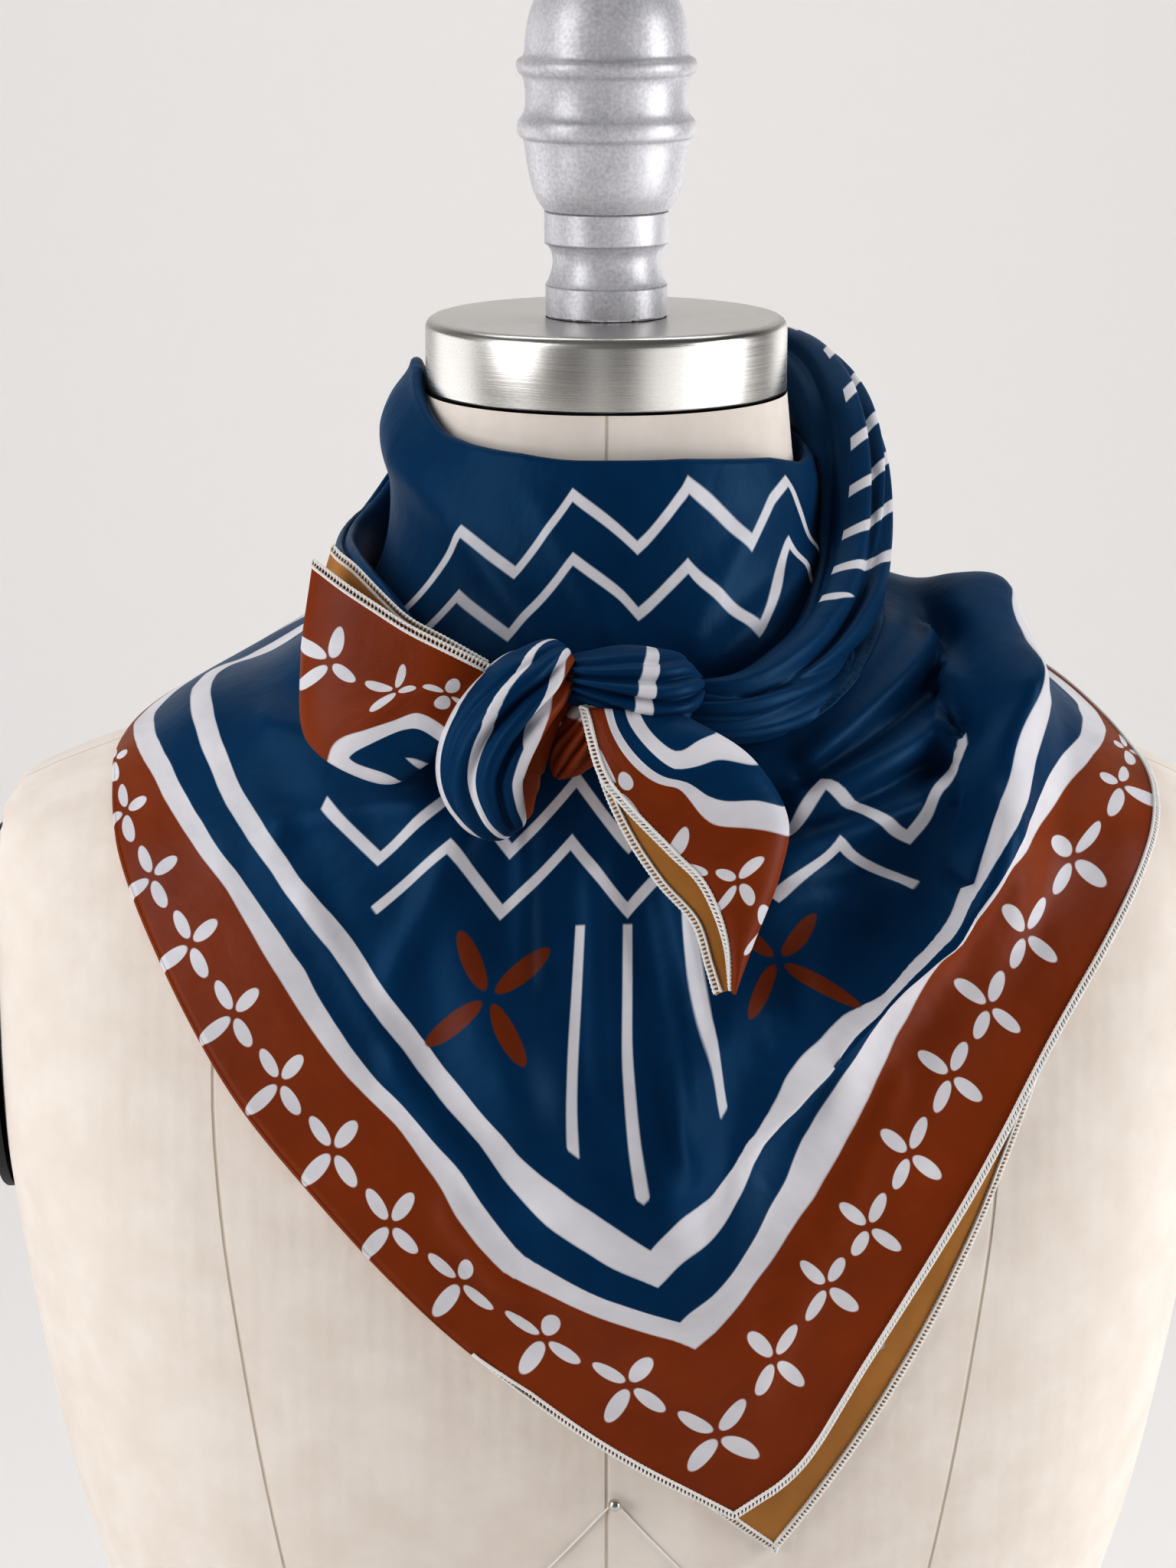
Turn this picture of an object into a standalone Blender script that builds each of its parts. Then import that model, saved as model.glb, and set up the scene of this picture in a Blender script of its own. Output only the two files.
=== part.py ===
"""A square silk scarf, folded to a triangle, wound round the neck of a dress form and knotted in front.

The dress form stands on its base board. Sizes in the tables are millimetres, +Z is up, the front faces -Y.
The scarf is a wall of cloth wherever it hangs as a sheet. Where it is gathered to a rope or a knot, the
gathered layers are one rounded solid.
"""
import math

import bmesh
import bpy
import numpy as np
from mathutils import Vector
from mathutils.bvhtree import BVHTree

MM = 0.001
GAP = 0.3                 # air between pieces that touch
SILK_NAVY = (0.02, 0.06, 0.13)

CAP_TOP = 680.0           # top face of the steel cap, above the floor
CAP_HEIGHT = 22.5
CAP_RADIUS = 55.5
CAP_EDGE = 1.6            # rounding of the cap's rims
NECK_TOP = CAP_TOP - CAP_HEIGHT - GAP
BOARD_HEIGHT = 15.0
BOARD_INSET = 7.0
ARMHOLE_X = 187.0         # the form is cut flat here for its arm plates
PLATE_HEIGHT = 118.0
PLATE_WIDTH = 92.0
PLATE_THICK = 4.0
PLATE_CENTRE = (-6.0, 462.0)    # y and z

CLOTH = 1.2               # wall of the outer layer, with its hem
UNDER_CLOTH = 1.0
PANEL_CLEAR = 3.6         # form to the middle of the outer layer
UNDER_CLEAR = 1.3         # form to the middle of the under layer

FORM_SIDES = 36
PANEL_STEPS = 3           # columns of mesh for each row of PANEL_SECTIONS
PANEL_ROWS = 18
ROPE_SIDES = 14

# One row for each level of the form: its width, and how far its front and back lie from the neck's axis.
FORM_LEVELS = [
    # z, half width, front, back, squareness
    (BOARD_HEIGHT + GAP, 168, 104, 112, 2.2),
    (32, 176, 110, 119, 2.2),
    (80, 172, 108, 120, 2.2),
    (135, 152, 98, 98, 2.2),
    (190, 140, 92, 76, 2.2),
    (245, 153, 103, 75, 2.3),
    (300, 169, 117, 84, 2.4),
    (345, 178, 126, 91, 2.5),
    (390, 185, 129, 96, 2.6),
    (430, 190, 125, 99, 2.7),
    (470, 194, 114, 99, 2.7),
    (505, 195, 101, 96, 2.5),
    (530, 190, 89, 91, 2.3),
    (548, 151, 78, 83, 2.1),
    (562, 110, 69, 75, 2.0),
    (576, 84, 64, 68, 2.0),
    (592, 69, 61, 63, 2.0),
    (612, 62, 59.5, 60, 2.0),
    (634, 58, 57.5, 57.5, 2.0),
    (NECK_TOP, 55.6, 55.6, 55.6, 2.0),
]

# The finial is turned: height above the cap and radius, foot to top. A repeated height is a sharp step.
FINIAL_PROFILE = [
    (0.3, 18.6), (9.6, 18.6), (11.2, 17.7), (14.0, 16.8), (16.6, 16.4), (19.4, 16.8), (21.6, 17.9),
    (22.4, 18.9), (32.0, 18.9), (33.0, 19.5), (36.0, 21.4), (40.0, 22.9), (46.5, 24.2), (53.4, 25.2),
    (54.6, 26.5), (56.0, 27.0), (58.8, 27.0), (60.0, 26.1), (62.4, 24.9), (66.0, 24.6), (70.0, 24.9),
    (72.6, 25.7), (74.4, 27.1), (77.2, 27.2), (78.2, 25.3), (84.0, 24.6), (90.8, 23.4), (97.4, 20.6),
    (103.0, 16.4), (107.6, 11.0), (110.6, 5.4), (111.6, 0.0),
]

# The sheet of cloth over front and shoulders, from the nape round the wearer's right, the viewer's left.
# turn is degrees round the neck from the front; the hem point is where that section ends.
PANEL_SECTIONS = [
    # turn, edge z, hem x, hem y, hem z, lift of the middle
    (-170, 626, -14, 76, 612, 0),
    (-161, 633, -31, 79, 605, 0),
    (-148, 639, -58, 82, 593, 0),
    (-132, 642, -96, 72, 574, -3),
    (-116, 655, -124, 48, 561, -7),
    (-100, 664, -141, 20, 556, -10),
    (-86, 662, -149, -12, 552, -9),
    (-70, 658, -149, -45, 545, -6),
    (-55, 654, -140, -78, 518, -2),
    (-40, 651, -115, -106, 475, 0),
    (-26, 648.5, -88, -121, 443, 0),
    (-12, 647, -48, -132, 402, 0),
    (0, 647, -3, -134, 366, 0),
    (10, 647, 44, -132, 341, 0),
    (22, 647, 75, -129, 387, 0),
    (36, 646.5, 107, -119, 438, 0),
    (52, 646, 131, -101, 478, 0),
    (68, 645, 152, -80, 508, 4),
    (84, 645, 165, -56, 529, 8),
    (98, 646, 167, -24, 542, 14),
    (112, 644, 157, 14, 553, 10),
    (128, 640, 136, 46, 565, 5),
    (145, 637, 90, 76, 582, 1),
    (161, 633, 32, 79, 605, 0),
    (170, 626, 14, 76, 612, 0),
]
CORNER_SECTION = 13       # the row of PANEL_SECTIONS at the corner of the square
LIFT_SHARES = (0.8, 1.0, 0.2)
EDGE_RADIUS = 64.0        # of the rolled edge at the neck
THROAT_RADIUS = 67.5      # where the neck part turns out over the shoulders
THROAT_DROP = 40.0        # of the throat below the edge, at the front

# Folds of the sheet, drawn on the front: each a soft ridge, or a trough where its height is negative.
PANEL_FOLDS = [
    # x start, z start, x end, z end, half width, height
    (110, 600, 117, 560, 12, 16),      # the wing that stands over the shoulder
    (117, 560, 111, 528, 13, 13),
    (112, 528, 62, 482, 11, 9),        # lip of the cowl over the stripes
    (62, 482, 32, 452, 10, 5),
    (99, 600, 96, 545, 9, -4),         # the shade inside the wing
    (96, 560, 30, 520, 12, 8),         # cowl folds that run to the knot
    (88, 582, 34, 548, 9, 6),
    (-52, 548, -28, 470, 12, 5),       # falls from the knot to the tip
    (-28, 470, 2, 404, 12, 4),
    (52, 520, 34, 440, 12, 5),
    (34, 440, 34, 380, 12, 3),
    (4, 520, 12, 440, 13, -3),
    (-118, 566, -60, 540, 12, 4),      # drag lines from the left shoulder
    (-112, 540, -66, 520, 10, 3),
]
FOLD_REACH = 20.0         # the folds die out behind this y

# The under layer of the folded square shows below the right hem: its corners in the front view.
UNDER_TIP = (50.0, 327.0)
UNDER_RIGHT = (127.0, 470.0)
UNDER_LEFT = (-46.0, 396.0)
UNDER_INNER = (30.0, 452.0)
UNDER_BOW = 6.0           # how far the right hem bows out
UNDER_COLUMNS = 10
UNDER_ROWS = 14

# Gathered stretches: one row for each section along the rope. high and thick are half sizes.
NAPE_TO_RIGHT = [
    # turn, radius, z, high, thick
    (-148, 70.5, 614, 14, 1.2),
    (-157, 72, 618, 14.5, 2.6),
    (-166, 76, 626, 15, 5),
    (-176, 79, 634, 15.5, 6),
    (176, 80.5, 642, 15, 6.5),
    (167, 80.5, 650, 14, 7),
    (154, 79.5, 657, 13, 7.5),
    (138, 79, 660, 12, 8),
    (122, 78, 659, 12, 8.5),
    (107, 77, 651, 12.5, 8.5),
    (95, 77, 638, 13, 8.5),
    (84, 77.5, 622, 14, 8.5),
    (73, 79, 607, 15, 8.5),
    (61, 82, 595, 15.5, 8.5),
    (49, 86, 586, 15, 8.5),
    (37, 91, 580, 13.5, 8.5),
    (25, 96, 577, 11, 8),
    (16, 98, 576.5, 8, 7),
]
NAPE_TO_LEFT = [
    # turn, radius, z, high, thick
    (148, 70.5, 615, 14, 1.2),
    (157, 70.5, 620, 14.5, 2.4),
    (166, 70.8, 627, 14, 3.4),
    (176, 70, 637, 14, 3.5),
    (-176, 69.2, 647, 12.5, 3.7),
    (-167, 70.5, 654, 11.5, 4),
    (-157, 75, 652, 11, 4.5),
    (-146, 80, 640, 11, 5),
    (-134, 80, 623, 12, 5.5),
    (-120, 81, 608, 12.5, 5.5),
    (-104, 81, 601, 13, 5.5),
    (-88, 80, 599, 13.5, 5.5),
    (-72, 81, 598, 14, 5.5),
    (-57, 85, 595, 14, 5.5),
    (-46, 89, 591, 12, 6),
    (-37, 94, 587, 9, 6),
    (-28, 98, 583, 7, 5),
]
ROPE_MARGIN = 1.0         # more air under a rope, for the sheet's facets
ROPE_FOLDS = 3            # gathers round a rope
ROPE_FOLD_DEPTH = 0.09    # share of its size
KNOT_FOLD_DEPTH = 0.04
ROPE_FOLD_TWIST = 0.12    # radians for each ring

# The knot: x, y, z of each section's centre and its half sizes across and front to back.
KNOT_LOOP = [
    # x, y, z, across, thick
    (-14, -95, 602, 5, 8),
    (-18.5, -97, 593, 7.5, 14),
    (-25, -99, 583.5, 11, 17.2),
    (-32, -101, 573, 14.5, 18),
    (-34.5, -102.5, 562.5, 14.5, 16),
    (-32, -103, 554, 12, 13),
    (-28, -102, 547.5, 7, 9),
]
KNOT_CORE = [
    # x, y, z, high, thick
    (-9.5, -95, 591, 6.5, 10),
    (-3, -96, 591, 9, 15),
    (6, -96.5, 590.5, 10, 17.5),
    (15, -95, 590, 9, 16.5),
    (23, -92, 590.5, 6, 10),
]

# The two ends of the scarf are corners folded on their diagonal: the hems of the front and back layer meet
# at the tip, and the fold runs down the other side.
LEFT_TAIL = [
    # front hem x, y, z, fold x, y, z, back hem x, y, z
    (-33.9, -102, 592.5, -47.5, -100, 578, -34.4, -97, 592.5),
    (-46, -104, 599, -54.5, -102, 569, -46, -96, 599),
    (-57, -101, 604, -63, -102, 559, -57, -91, 604),
    (-66, -97, 609, -73, -100, 560, -65, -85, 610),
    (-75, -92, 614, -84, -95, 565, -73, -79, 617),
    (-82, -86, 618, -89, -89, 573, -78, -74, 620),
    (-85, -82, 619.5, -89, -82, 593, -80, -72, 622),
]
LEFT_TAIL_BELLY = 5.0
RIGHT_TAIL = [
    # front hem x, y, z, fold x, y, z, back hem x, y, z
    (-8, -108.5, 581.6, 14, -102.5, 580.9, -7, -100.5, 577.6),
    (-3, -119, 565, 26, -110, 577, -2, -110, 560),
    (4, -123, 556, 41, -115, 568, 5, -114, 545),
    (17, -126, 543, 51, -119, 552, 14, -118, 532),
    (26, -128, 534, 49, -122, 536, 24, -121, 521),
    (32, -129, 521, 42, -124, 519, 28, -124, 512),
    (33, -128, 510, 36, -126, 509, 29.5, -125, 507),
]
RIGHT_TAIL_BELLY = 7.0
TAIL_STEPS = 2
TAIL_ACROSS = 12


def clear_scene():
    for item in list(bpy.data.objects):
        bpy.data.objects.remove(item, do_unlink=True)


def smooth_row(rows, t):
    """Reads a table at t, counted in rows, along a Catmull-Rom curve through its rows."""
    table = np.asarray(rows, float)
    last = len(table) - 1
    i = min(max(int(math.floor(t)), 0), last - 1)
    f = min(max(t - i, 0.0), 1.0)
    p1, p2 = table[i], table[i + 1]
    p0 = table[i - 1] if i > 0 else 2 * p1 - p2
    p3 = table[i + 2] if i + 2 <= last else 2 * p2 - p1
    b = p2 - p0
    c = 2 * p0 - 5 * p1 + 4 * p2 - p3
    d = 3 * p1 - p0 - 3 * p2 + p3
    return 0.5 * (2 * p1 + b * f + c * f * f + d * f ** 3)


def material(name, colour, roughness, metallic=0.0):
    made = bpy.data.materials.new(name)
    made.use_nodes = True
    shader = made.node_tree.nodes["Principled BSDF"]
    shader.inputs["Base Color"].default_value = (*colour, 1.0)
    shader.inputs["Roughness"].default_value = roughness
    shader.inputs["Metallic"].default_value = metallic
    return made


def silk(piece):
    return material("printed silk, " + piece, SILK_NAVY, 0.45)


def add_object(name, mesh, collection, finish):
    item = bpy.data.objects.new(name, mesh)
    collection.objects.link(item)
    mesh.materials.append(finish)
    return item


def mesh_of(name, points, faces):
    """A mesh in metres from points in millimetres."""
    mesh = bpy.data.meshes.new(name)
    mesh.from_pydata([[c * MM for c in p] for p in points], [], faces)
    mesh.update()
    return mesh


def add_loft(name, rings, collection, finish):
    """A closed body through a row of closed rings, capped at both ends."""
    sides = len(rings[0])
    points = [p for ring in rings for p in ring]
    faces = []
    for i in range(len(rings) - 1):
        for k in range(sides):
            n = (k + 1) % sides
            faces.append((i * sides + k, i * sides + n, (i + 1) * sides + n, (i + 1) * sides + k))
    faces.append(tuple(range(sides))[::-1])
    faces.append(tuple((len(rings) - 1) * sides + k for k in range(sides)))
    mesh = mesh_of(name, points, faces)
    turn_outward(mesh)
    mesh.shade_smooth()
    return add_object(name, mesh, collection, finish)


def turn_outward(mesh):
    work = bmesh.new()
    work.from_mesh(mesh)
    if work.calc_volume(signed=True) < 0:
        bmesh.ops.reverse_faces(work, faces=work.faces)
    work.to_mesh(mesh)
    work.free()


def add_sheet(name, grid, wall, collection, finish):
    """A wall of cloth round an open surface, given as rows of points."""
    rows, columns = len(grid), len(grid[0])
    points = [p for row in grid for p in row]
    faces = []
    for i in range(rows - 1):
        for k in range(columns - 1):
            a = i * columns + k
            faces.append((a, a + 1, a + columns + 1, a + columns))
    mesh = mesh_of(name, points, faces)
    mesh.shade_smooth()
    item = add_object(name, mesh, collection, finish)
    shell = item.modifiers.new("wall", "SOLIDIFY")
    shell.thickness = wall * MM
    shell.offset = 0.0
    shell.use_even_offset = False
    return item


def tree_of(rows_of_points, closed):
    """A search tree over a loft, read upwards, or a sheet, read from its lowest row, facing outwards."""
    rows, columns = len(rows_of_points), len(rows_of_points[0])
    points = [Vector(p) for row in rows_of_points for p in row]
    span = columns if closed else columns - 1
    faces = []
    for i in range(rows - 1):
        for k in range(span):
            n = (k + 1) % columns
            faces.append((i * columns + k, i * columns + n, (i + 1) * columns + n, (i + 1) * columns + k))
    return BVHTree.FromPolygons(points, faces)


def pushed_clear(tree, point, clearance):
    """The point, or the nearest place to it that keeps the clearance outside the surface."""
    near, normal, _, _ = tree.find_nearest(Vector(point))
    offset = Vector(point) - near
    depth = offset.dot(normal)
    beside = offset.length >= clearance and abs(depth) < 0.5 * offset.length
    if beside or (depth > 0 and offset.length >= clearance):
        return list(point)
    return list(near + normal * clearance)


def form_ring(z, half, front, back, squareness):
    """One level of the form: a rounded outline that is cut flat at the armholes."""
    ring = []
    power = 2.0 / squareness
    for k in range(FORM_SIDES):
        turn = 2 * math.pi * k / FORM_SIDES
        c, s = math.cos(turn), math.sin(turn)
        x = half * math.copysign(abs(c) ** power, c)
        y = (back if s > 0 else front) * math.copysign(abs(s) ** power, s)
        ring.append((min(max(x, -ARMHOLE_X), ARMHOLE_X), y, z))
    return ring


def form_rings():
    return [form_ring(*level) for level in FORM_LEVELS]


def add_form(collection):
    canvas = material("canvas", (0.80, 0.74, 0.65), 0.85)
    return add_loft("form_body", form_rings(), collection, canvas)


def add_arm_plates(collection):
    for side, name in ((-1, "form_arm_plate_left"), (1, "form_arm_plate_right")):
        finish = material(name.replace("_", " "), (0.05, 0.05, 0.06), 0.5)
        rings = []
        for depth, share in ((0.0, 1.0), (PLATE_THICK - 1.2, 1.0), (PLATE_THICK, 0.97)):
            ring = []
            for k in range(28):
                turn = 2 * math.pi * k / 28
                y = PLATE_CENTRE[0] + PLATE_WIDTH / 2 * share * math.cos(turn)
                z = PLATE_CENTRE[1] + PLATE_HEIGHT / 2 * share * math.sin(turn)
                ring.append((side * (ARMHOLE_X + GAP + depth), y, z))
            rings.append(ring)
        add_loft(name, rings, collection, finish)


def add_base_board(collection):
    _, half, front, back, squareness = FORM_LEVELS[0]
    outline = (half - BOARD_INSET, front - BOARD_INSET, back - BOARD_INSET, squareness)
    rings = [form_ring(0.0, *outline), form_ring(BOARD_HEIGHT, *outline)]
    board = add_loft("form_base_board", rings, collection, material("beech board", (0.55, 0.38, 0.22), 0.6))
    board.data.set_sharp_from_angle(angle=math.radians(40))


def add_turned(name, profile, steps, collection, finish):
    """A turned piece: its profile, given as radius and height, swept round the neck's axis."""
    mesh = bpy.data.meshes.new(name)
    points = [(r * MM, 0.0, z * MM) for r, z in profile]
    mesh.from_pydata(points, [(i, i + 1) for i in range(len(points) - 1)], [])
    item = add_object(name, mesh, collection, finish)
    turn = item.modifiers.new("turn", "SCREW")
    turn.steps = steps
    turn.render_steps = steps
    turn.use_merge_vertices = True
    turn.merge_threshold = 0.00001
    turn.use_smooth_shade = True
    return item


def add_cap(collection):
    bottom = CAP_TOP - CAP_HEIGHT
    inner = CAP_RADIUS - CAP_EDGE
    profile = [(0.0, CAP_TOP), (inner, CAP_TOP)]
    profile += [(CAP_RADIUS - 0.45, CAP_TOP - 0.45), (CAP_RADIUS, CAP_TOP - CAP_EDGE)]
    profile += [(CAP_RADIUS, bottom + 0.6), (CAP_RADIUS - 0.6, bottom), (0.0, bottom)]
    add_turned("form_neck_cap", profile, 40, collection, material("brushed steel", (0.62, 0.61, 0.60), 0.3, 1.0))


def add_finial(collection):
    profile = [(r, CAP_TOP + z) for z, r in reversed(FINIAL_PROFILE)]
    profile.append((0.0, CAP_TOP + FINIAL_PROFILE[0][0]))
    paint = material("silver paint", (0.60, 0.60, 0.62), 0.45, 0.3)
    add_turned("form_finial", profile, 26, collection, paint)


def polar(turn, radius, z):
    """A point round the neck: turn is in degrees from the front, positive to the viewer's right."""
    return (radius * math.sin(math.radians(turn)), -radius * math.cos(math.radians(turn)), z)


def fold_height(x, y, z, folds):
    """Height of the folds at a point of the sheet, from its place in the front view."""
    fade = min(max((FOLD_REACH - y) / 25.0, 0.0), 1.0)
    total = 0.0
    for x0, z0, x1, z1, width, height in folds:
        run = Vector((x1 - x0, z1 - z0))
        offset = Vector((x - x0, z - z0))
        along = offset.dot(run) / run.length_squared
        inside = min(max(along, 0.0), 1.0)
        distance = (offset - run * inside).length
        total += height * math.exp(-(distance / width) ** 2)
    return total * fade


def section_at(t):
    """The sheet's section at t, along a curve that breaks at the corner of the square."""
    if t <= CORNER_SECTION:
        return smooth_row(PANEL_SECTIONS[:CORNER_SECTION + 1], t)
    return smooth_row(PANEL_SECTIONS[CORNER_SECTION:], t - CORNER_SECTION)


def panel_grid(form_tree):
    """The sheet's middle surface: each column runs from the rolled edge at the neck to the hem."""
    columns = []
    for i in range((len(PANEL_SECTIONS) - 1) * PANEL_STEPS + 1):
        turn, edge_z, hem_x, hem_y, hem_z, lift = section_at(i / PANEL_STEPS)
        front = max(math.cos(math.radians(turn)), 0.0)
        throat_z = min(edge_z, 650.0) - THROAT_DROP - 3 * (1 - front)
        edge = polar(turn, EDGE_RADIUS, edge_z)
        lip = polar(turn, EDGE_RADIUS + 2.5, edge_z - 8)
        throat = polar(turn, THROAT_RADIUS + 7 * front, throat_z)
        hem = (hem_x, hem_y, hem_z)
        controls = [edge, lip, throat]
        for share, raised in zip((0.25, 0.5, 0.75), LIFT_SHARES):
            x, y, z = (t + (h - t) * share for t, h in zip(throat, hem))
            controls.append((x, y, z + lift * raised))
        controls.append(hem)
        stops = [0.0, 0.35, 1.7, 3.0, 4.0, 5.0, 6.0]
        reads = np.linspace(0.0, 6.0, PANEL_ROWS)
        rows = np.interp(reads, stops, range(7))
        columns.append([list(smooth_row(controls, r)) for r in rows])
    grid = np.array(columns).transpose(1, 0, 2)
    for _ in range(3):
        grid = settled(grid, form_tree, PANEL_CLEAR)
    normals = grid_normals(grid)
    for i in range(1, grid.shape[0]):
        share = min(i / 3.0, 1.0)
        for k in range(grid.shape[1]):
            x, y, z = grid[i, k]
            grid[i, k] += normals[i, k] * fold_height(x, y, z, PANEL_FOLDS) * share
            grid[i, k] = pushed_clear(form_tree, grid[i, k], PANEL_CLEAR)
    return grid


def settled(grid, tree, clearance):
    """The sheet relaxed once inside its edges, and pushed clear of what it lies on."""
    smooth = grid.copy()
    inner = grid[:-2, 1:-1] + grid[2:, 1:-1] + grid[1:-1, :-2] + grid[1:-1, 2:]
    smooth[1:-1, 1:-1] = 0.5 * grid[1:-1, 1:-1] + 0.125 * inner
    for i in range(grid.shape[0]):
        for k in range(grid.shape[1]):
            smooth[i, k] = pushed_clear(tree, smooth[i, k], clearance)
    return smooth


def grid_normals(grid):
    """Unit normals of a sheet, pointing away from the form."""
    down = np.gradient(grid, axis=0)
    across = np.gradient(grid, axis=1)
    normals = np.cross(down, across)
    normals /= np.linalg.norm(normals, axis=2, keepdims=True)
    outward = grid * np.array([1.0, 1.0, 0.0])
    flip = np.sign((normals * outward).sum(axis=2, keepdims=True))
    return normals * np.where(flip == 0, 1, flip)


def add_front(form_tree, collection):
    grid = panel_grid(form_tree)
    add_sheet("scarf_front", grid.tolist(), CLOTH, collection, silk("front"))
    return grid


def front_point(form_tree, x, z, clearance):
    """The place in front of the form at x and z, clear of it."""
    hit, _, _, _ = form_tree.ray_cast(Vector((x, -400.0, z)), Vector((0.0, 1.0, 0.0)))
    return pushed_clear(form_tree, (x, hit.y - clearance, z), clearance)


def add_under_layer(form_tree, collection):
    grid = []
    for i in range(UNDER_ROWS + 1):
        b = i / UNDER_ROWS
        row = []
        for k in range(UNDER_COLUMNS + 1):
            a = k / UNDER_COLUMNS
            spot = []
            for axis in (0, 1):
                low = UNDER_TIP[axis] * (1 - b) + UNDER_RIGHT[axis] * b
                high = UNDER_LEFT[axis] * (1 - b) + UNDER_INNER[axis] * b
                spot.append(low * (1 - a) + high * a)
            bow = UNDER_BOW * math.sin(math.pi * b) * (1 - a)
            row.append(front_point(form_tree, spot[0] + bow * 0.88, spot[1] - bow * 0.47, UNDER_CLEAR))
        grid.append(row)
    add_sheet("scarf_under_layer", grid, UNDER_CLOTH, collection, silk("under layer"))


def rope_rings(path, sizes, facing, folds):
    """Rings of a gathered stretch round its path, each high across it and thick along facing."""
    count = len(path)
    rings = []
    for i in range(count):
        along = (path[min(i + 1, count - 1)] - path[max(i - 1, 0)]).normalized()
        depth = facing[i] - along * facing[i].dot(along)
        depth.normalize()
        side = along.cross(depth)
        high, thick = sizes[i]
        ring = []
        for k in range(ROPE_SIDES):
            turn = 2 * math.pi * k / ROPE_SIDES
            gather = 1 + folds * math.cos(ROPE_FOLDS * turn + i * ROPE_FOLD_TWIST)
            ring.append(list(path[i] + (side * high * math.cos(turn) + depth * thick * math.sin(turn)) * gather))
        rings.append(ring)
    return rings


def add_rope(name, table, tree, collection, finish):
    """A stretch that is gathered and wound round the neck, kept clear of the sheet below it."""
    path, sizes, facing = [], [], []
    for i in range((len(table) - 1) * 2 + 1):
        turn, radius, z, high, thick = smooth_row(unwrapped(table), i / 2)
        point = Vector(polar(turn, radius, z))
        path.append(point)
        sizes.append((high, thick))
        facing.append(Vector((point.x, point.y, 0.0)).normalized())
    rings = rope_rings(path, sizes, facing, ROPE_FOLD_DEPTH)
    keep = GAP + CLOTH / 2 + ROPE_MARGIN
    rings = [[pushed_clear(tree, p, keep) for p in ring] for ring in rings]
    add_loft(name, rings, collection, finish)


def unwrapped(table):
    """The table with its turns made continuous across the nape."""
    rows = [list(row) for row in table]
    for before, row in zip(rows, rows[1:]):
        while row[0] - before[0] > 180:
            row[0] -= 360
        while row[0] - before[0] < -180:
            row[0] += 360
    return rows


def add_knot(collection):
    for piece, table in (("loop", KNOT_LOOP), ("core", KNOT_CORE)):
        rows = [smooth_row(table, i / 2) for i in range((len(table) - 1) * 2 + 1)]
        path = [Vector(row[:3]) for row in rows]
        sizes = [(row[3], row[4]) for row in rows]
        rings = rope_rings(path, sizes, [Vector((0, -1, 0))] * len(path), KNOT_FOLD_DEPTH)
        add_loft("scarf_knot_" + piece, rings, collection, silk("knot " + piece))


def add_tail(name, table, belly, collection, finish):
    """A folded corner: the wall runs from the front hem down to the fold and up to the back hem."""
    grid = []
    for i in range((len(table) - 1) * TAIL_STEPS + 1):
        row = smooth_row(table, i / TAIL_STEPS)
        front, fold, back = row[0:3], row[3:6], row[6:9]
        ring = []
        for k in range(TAIL_ACROSS + 1):
            t = k / TAIL_ACROSS
            if t <= 0.5:
                share = math.sin(math.pi * t)
                swell = belly * math.sin(2 * math.pi * t)
                point = front + (fold - front) * share + np.array([0.0, -swell * 0.8, 0.0])
            else:
                share = math.cos(math.pi * (t - 0.5))
                swell = belly * math.sin(2 * math.pi * (t - 0.5))
                point = back + (fold - back) * share + np.array([0.0, swell * 0.1, 0.0])
            ring.append(point.tolist())
        grid.append(ring)
    add_sheet(name, grid, CLOTH, collection, finish)


def main():
    clear_scene()
    parts = bpy.data.collections.new("silk scarf on dress form")
    bpy.context.scene.collection.children.link(parts)
    add_base_board(parts)
    add_form(parts)
    add_arm_plates(parts)
    add_cap(parts)
    add_finial(parts)
    form_tree = tree_of(form_rings(), True)
    add_under_layer(form_tree, parts)
    grid = add_front(form_tree, parts)
    sheet_tree = tree_of(grid[::-1].tolist(), False)
    add_rope("scarf_nape_to_right", NAPE_TO_RIGHT, sheet_tree, parts, silk("nape to right"))
    add_rope("scarf_nape_to_left", NAPE_TO_LEFT, sheet_tree, parts, silk("nape to left"))
    add_knot(parts)
    add_tail("scarf_left_tail", LEFT_TAIL, LEFT_TAIL_BELLY, parts, silk("left tail"))
    add_tail("scarf_right_tail", RIGHT_TAIL, RIGHT_TAIL_BELLY, parts, silk("right tail"))


main()
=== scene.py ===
"""Looks of a printed silk square, folded to a triangle, wound round the neck of a dress form and knotted.

Lengths in the tables are millimetres, +Z is up, the front faces -Y and the viewer's right is +X.
"""
import math

import bpy
import numpy as np
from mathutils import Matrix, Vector
from mathutils.bvhtree import BVHTree


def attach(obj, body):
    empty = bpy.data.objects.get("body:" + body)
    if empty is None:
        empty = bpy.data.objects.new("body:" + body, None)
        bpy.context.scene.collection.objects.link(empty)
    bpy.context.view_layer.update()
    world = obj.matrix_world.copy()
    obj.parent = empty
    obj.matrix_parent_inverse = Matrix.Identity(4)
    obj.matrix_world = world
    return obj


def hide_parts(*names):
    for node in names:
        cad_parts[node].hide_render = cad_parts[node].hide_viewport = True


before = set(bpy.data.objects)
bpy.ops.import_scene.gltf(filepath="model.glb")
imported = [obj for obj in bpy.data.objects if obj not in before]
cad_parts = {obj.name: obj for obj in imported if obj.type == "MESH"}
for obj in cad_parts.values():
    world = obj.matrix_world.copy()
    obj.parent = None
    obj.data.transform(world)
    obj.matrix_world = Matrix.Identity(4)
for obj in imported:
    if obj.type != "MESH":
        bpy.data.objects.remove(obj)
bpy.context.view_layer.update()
scene = bpy.context.scene

# Camera. It stands 1.2 m in front of the neck, a little above it, and looks down by 13.8 degrees through a
# long lens.
CAMERA_PLACE = (-0.0056, -1.2, 0.827)
CAMERA_PITCH = -13.8

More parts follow.
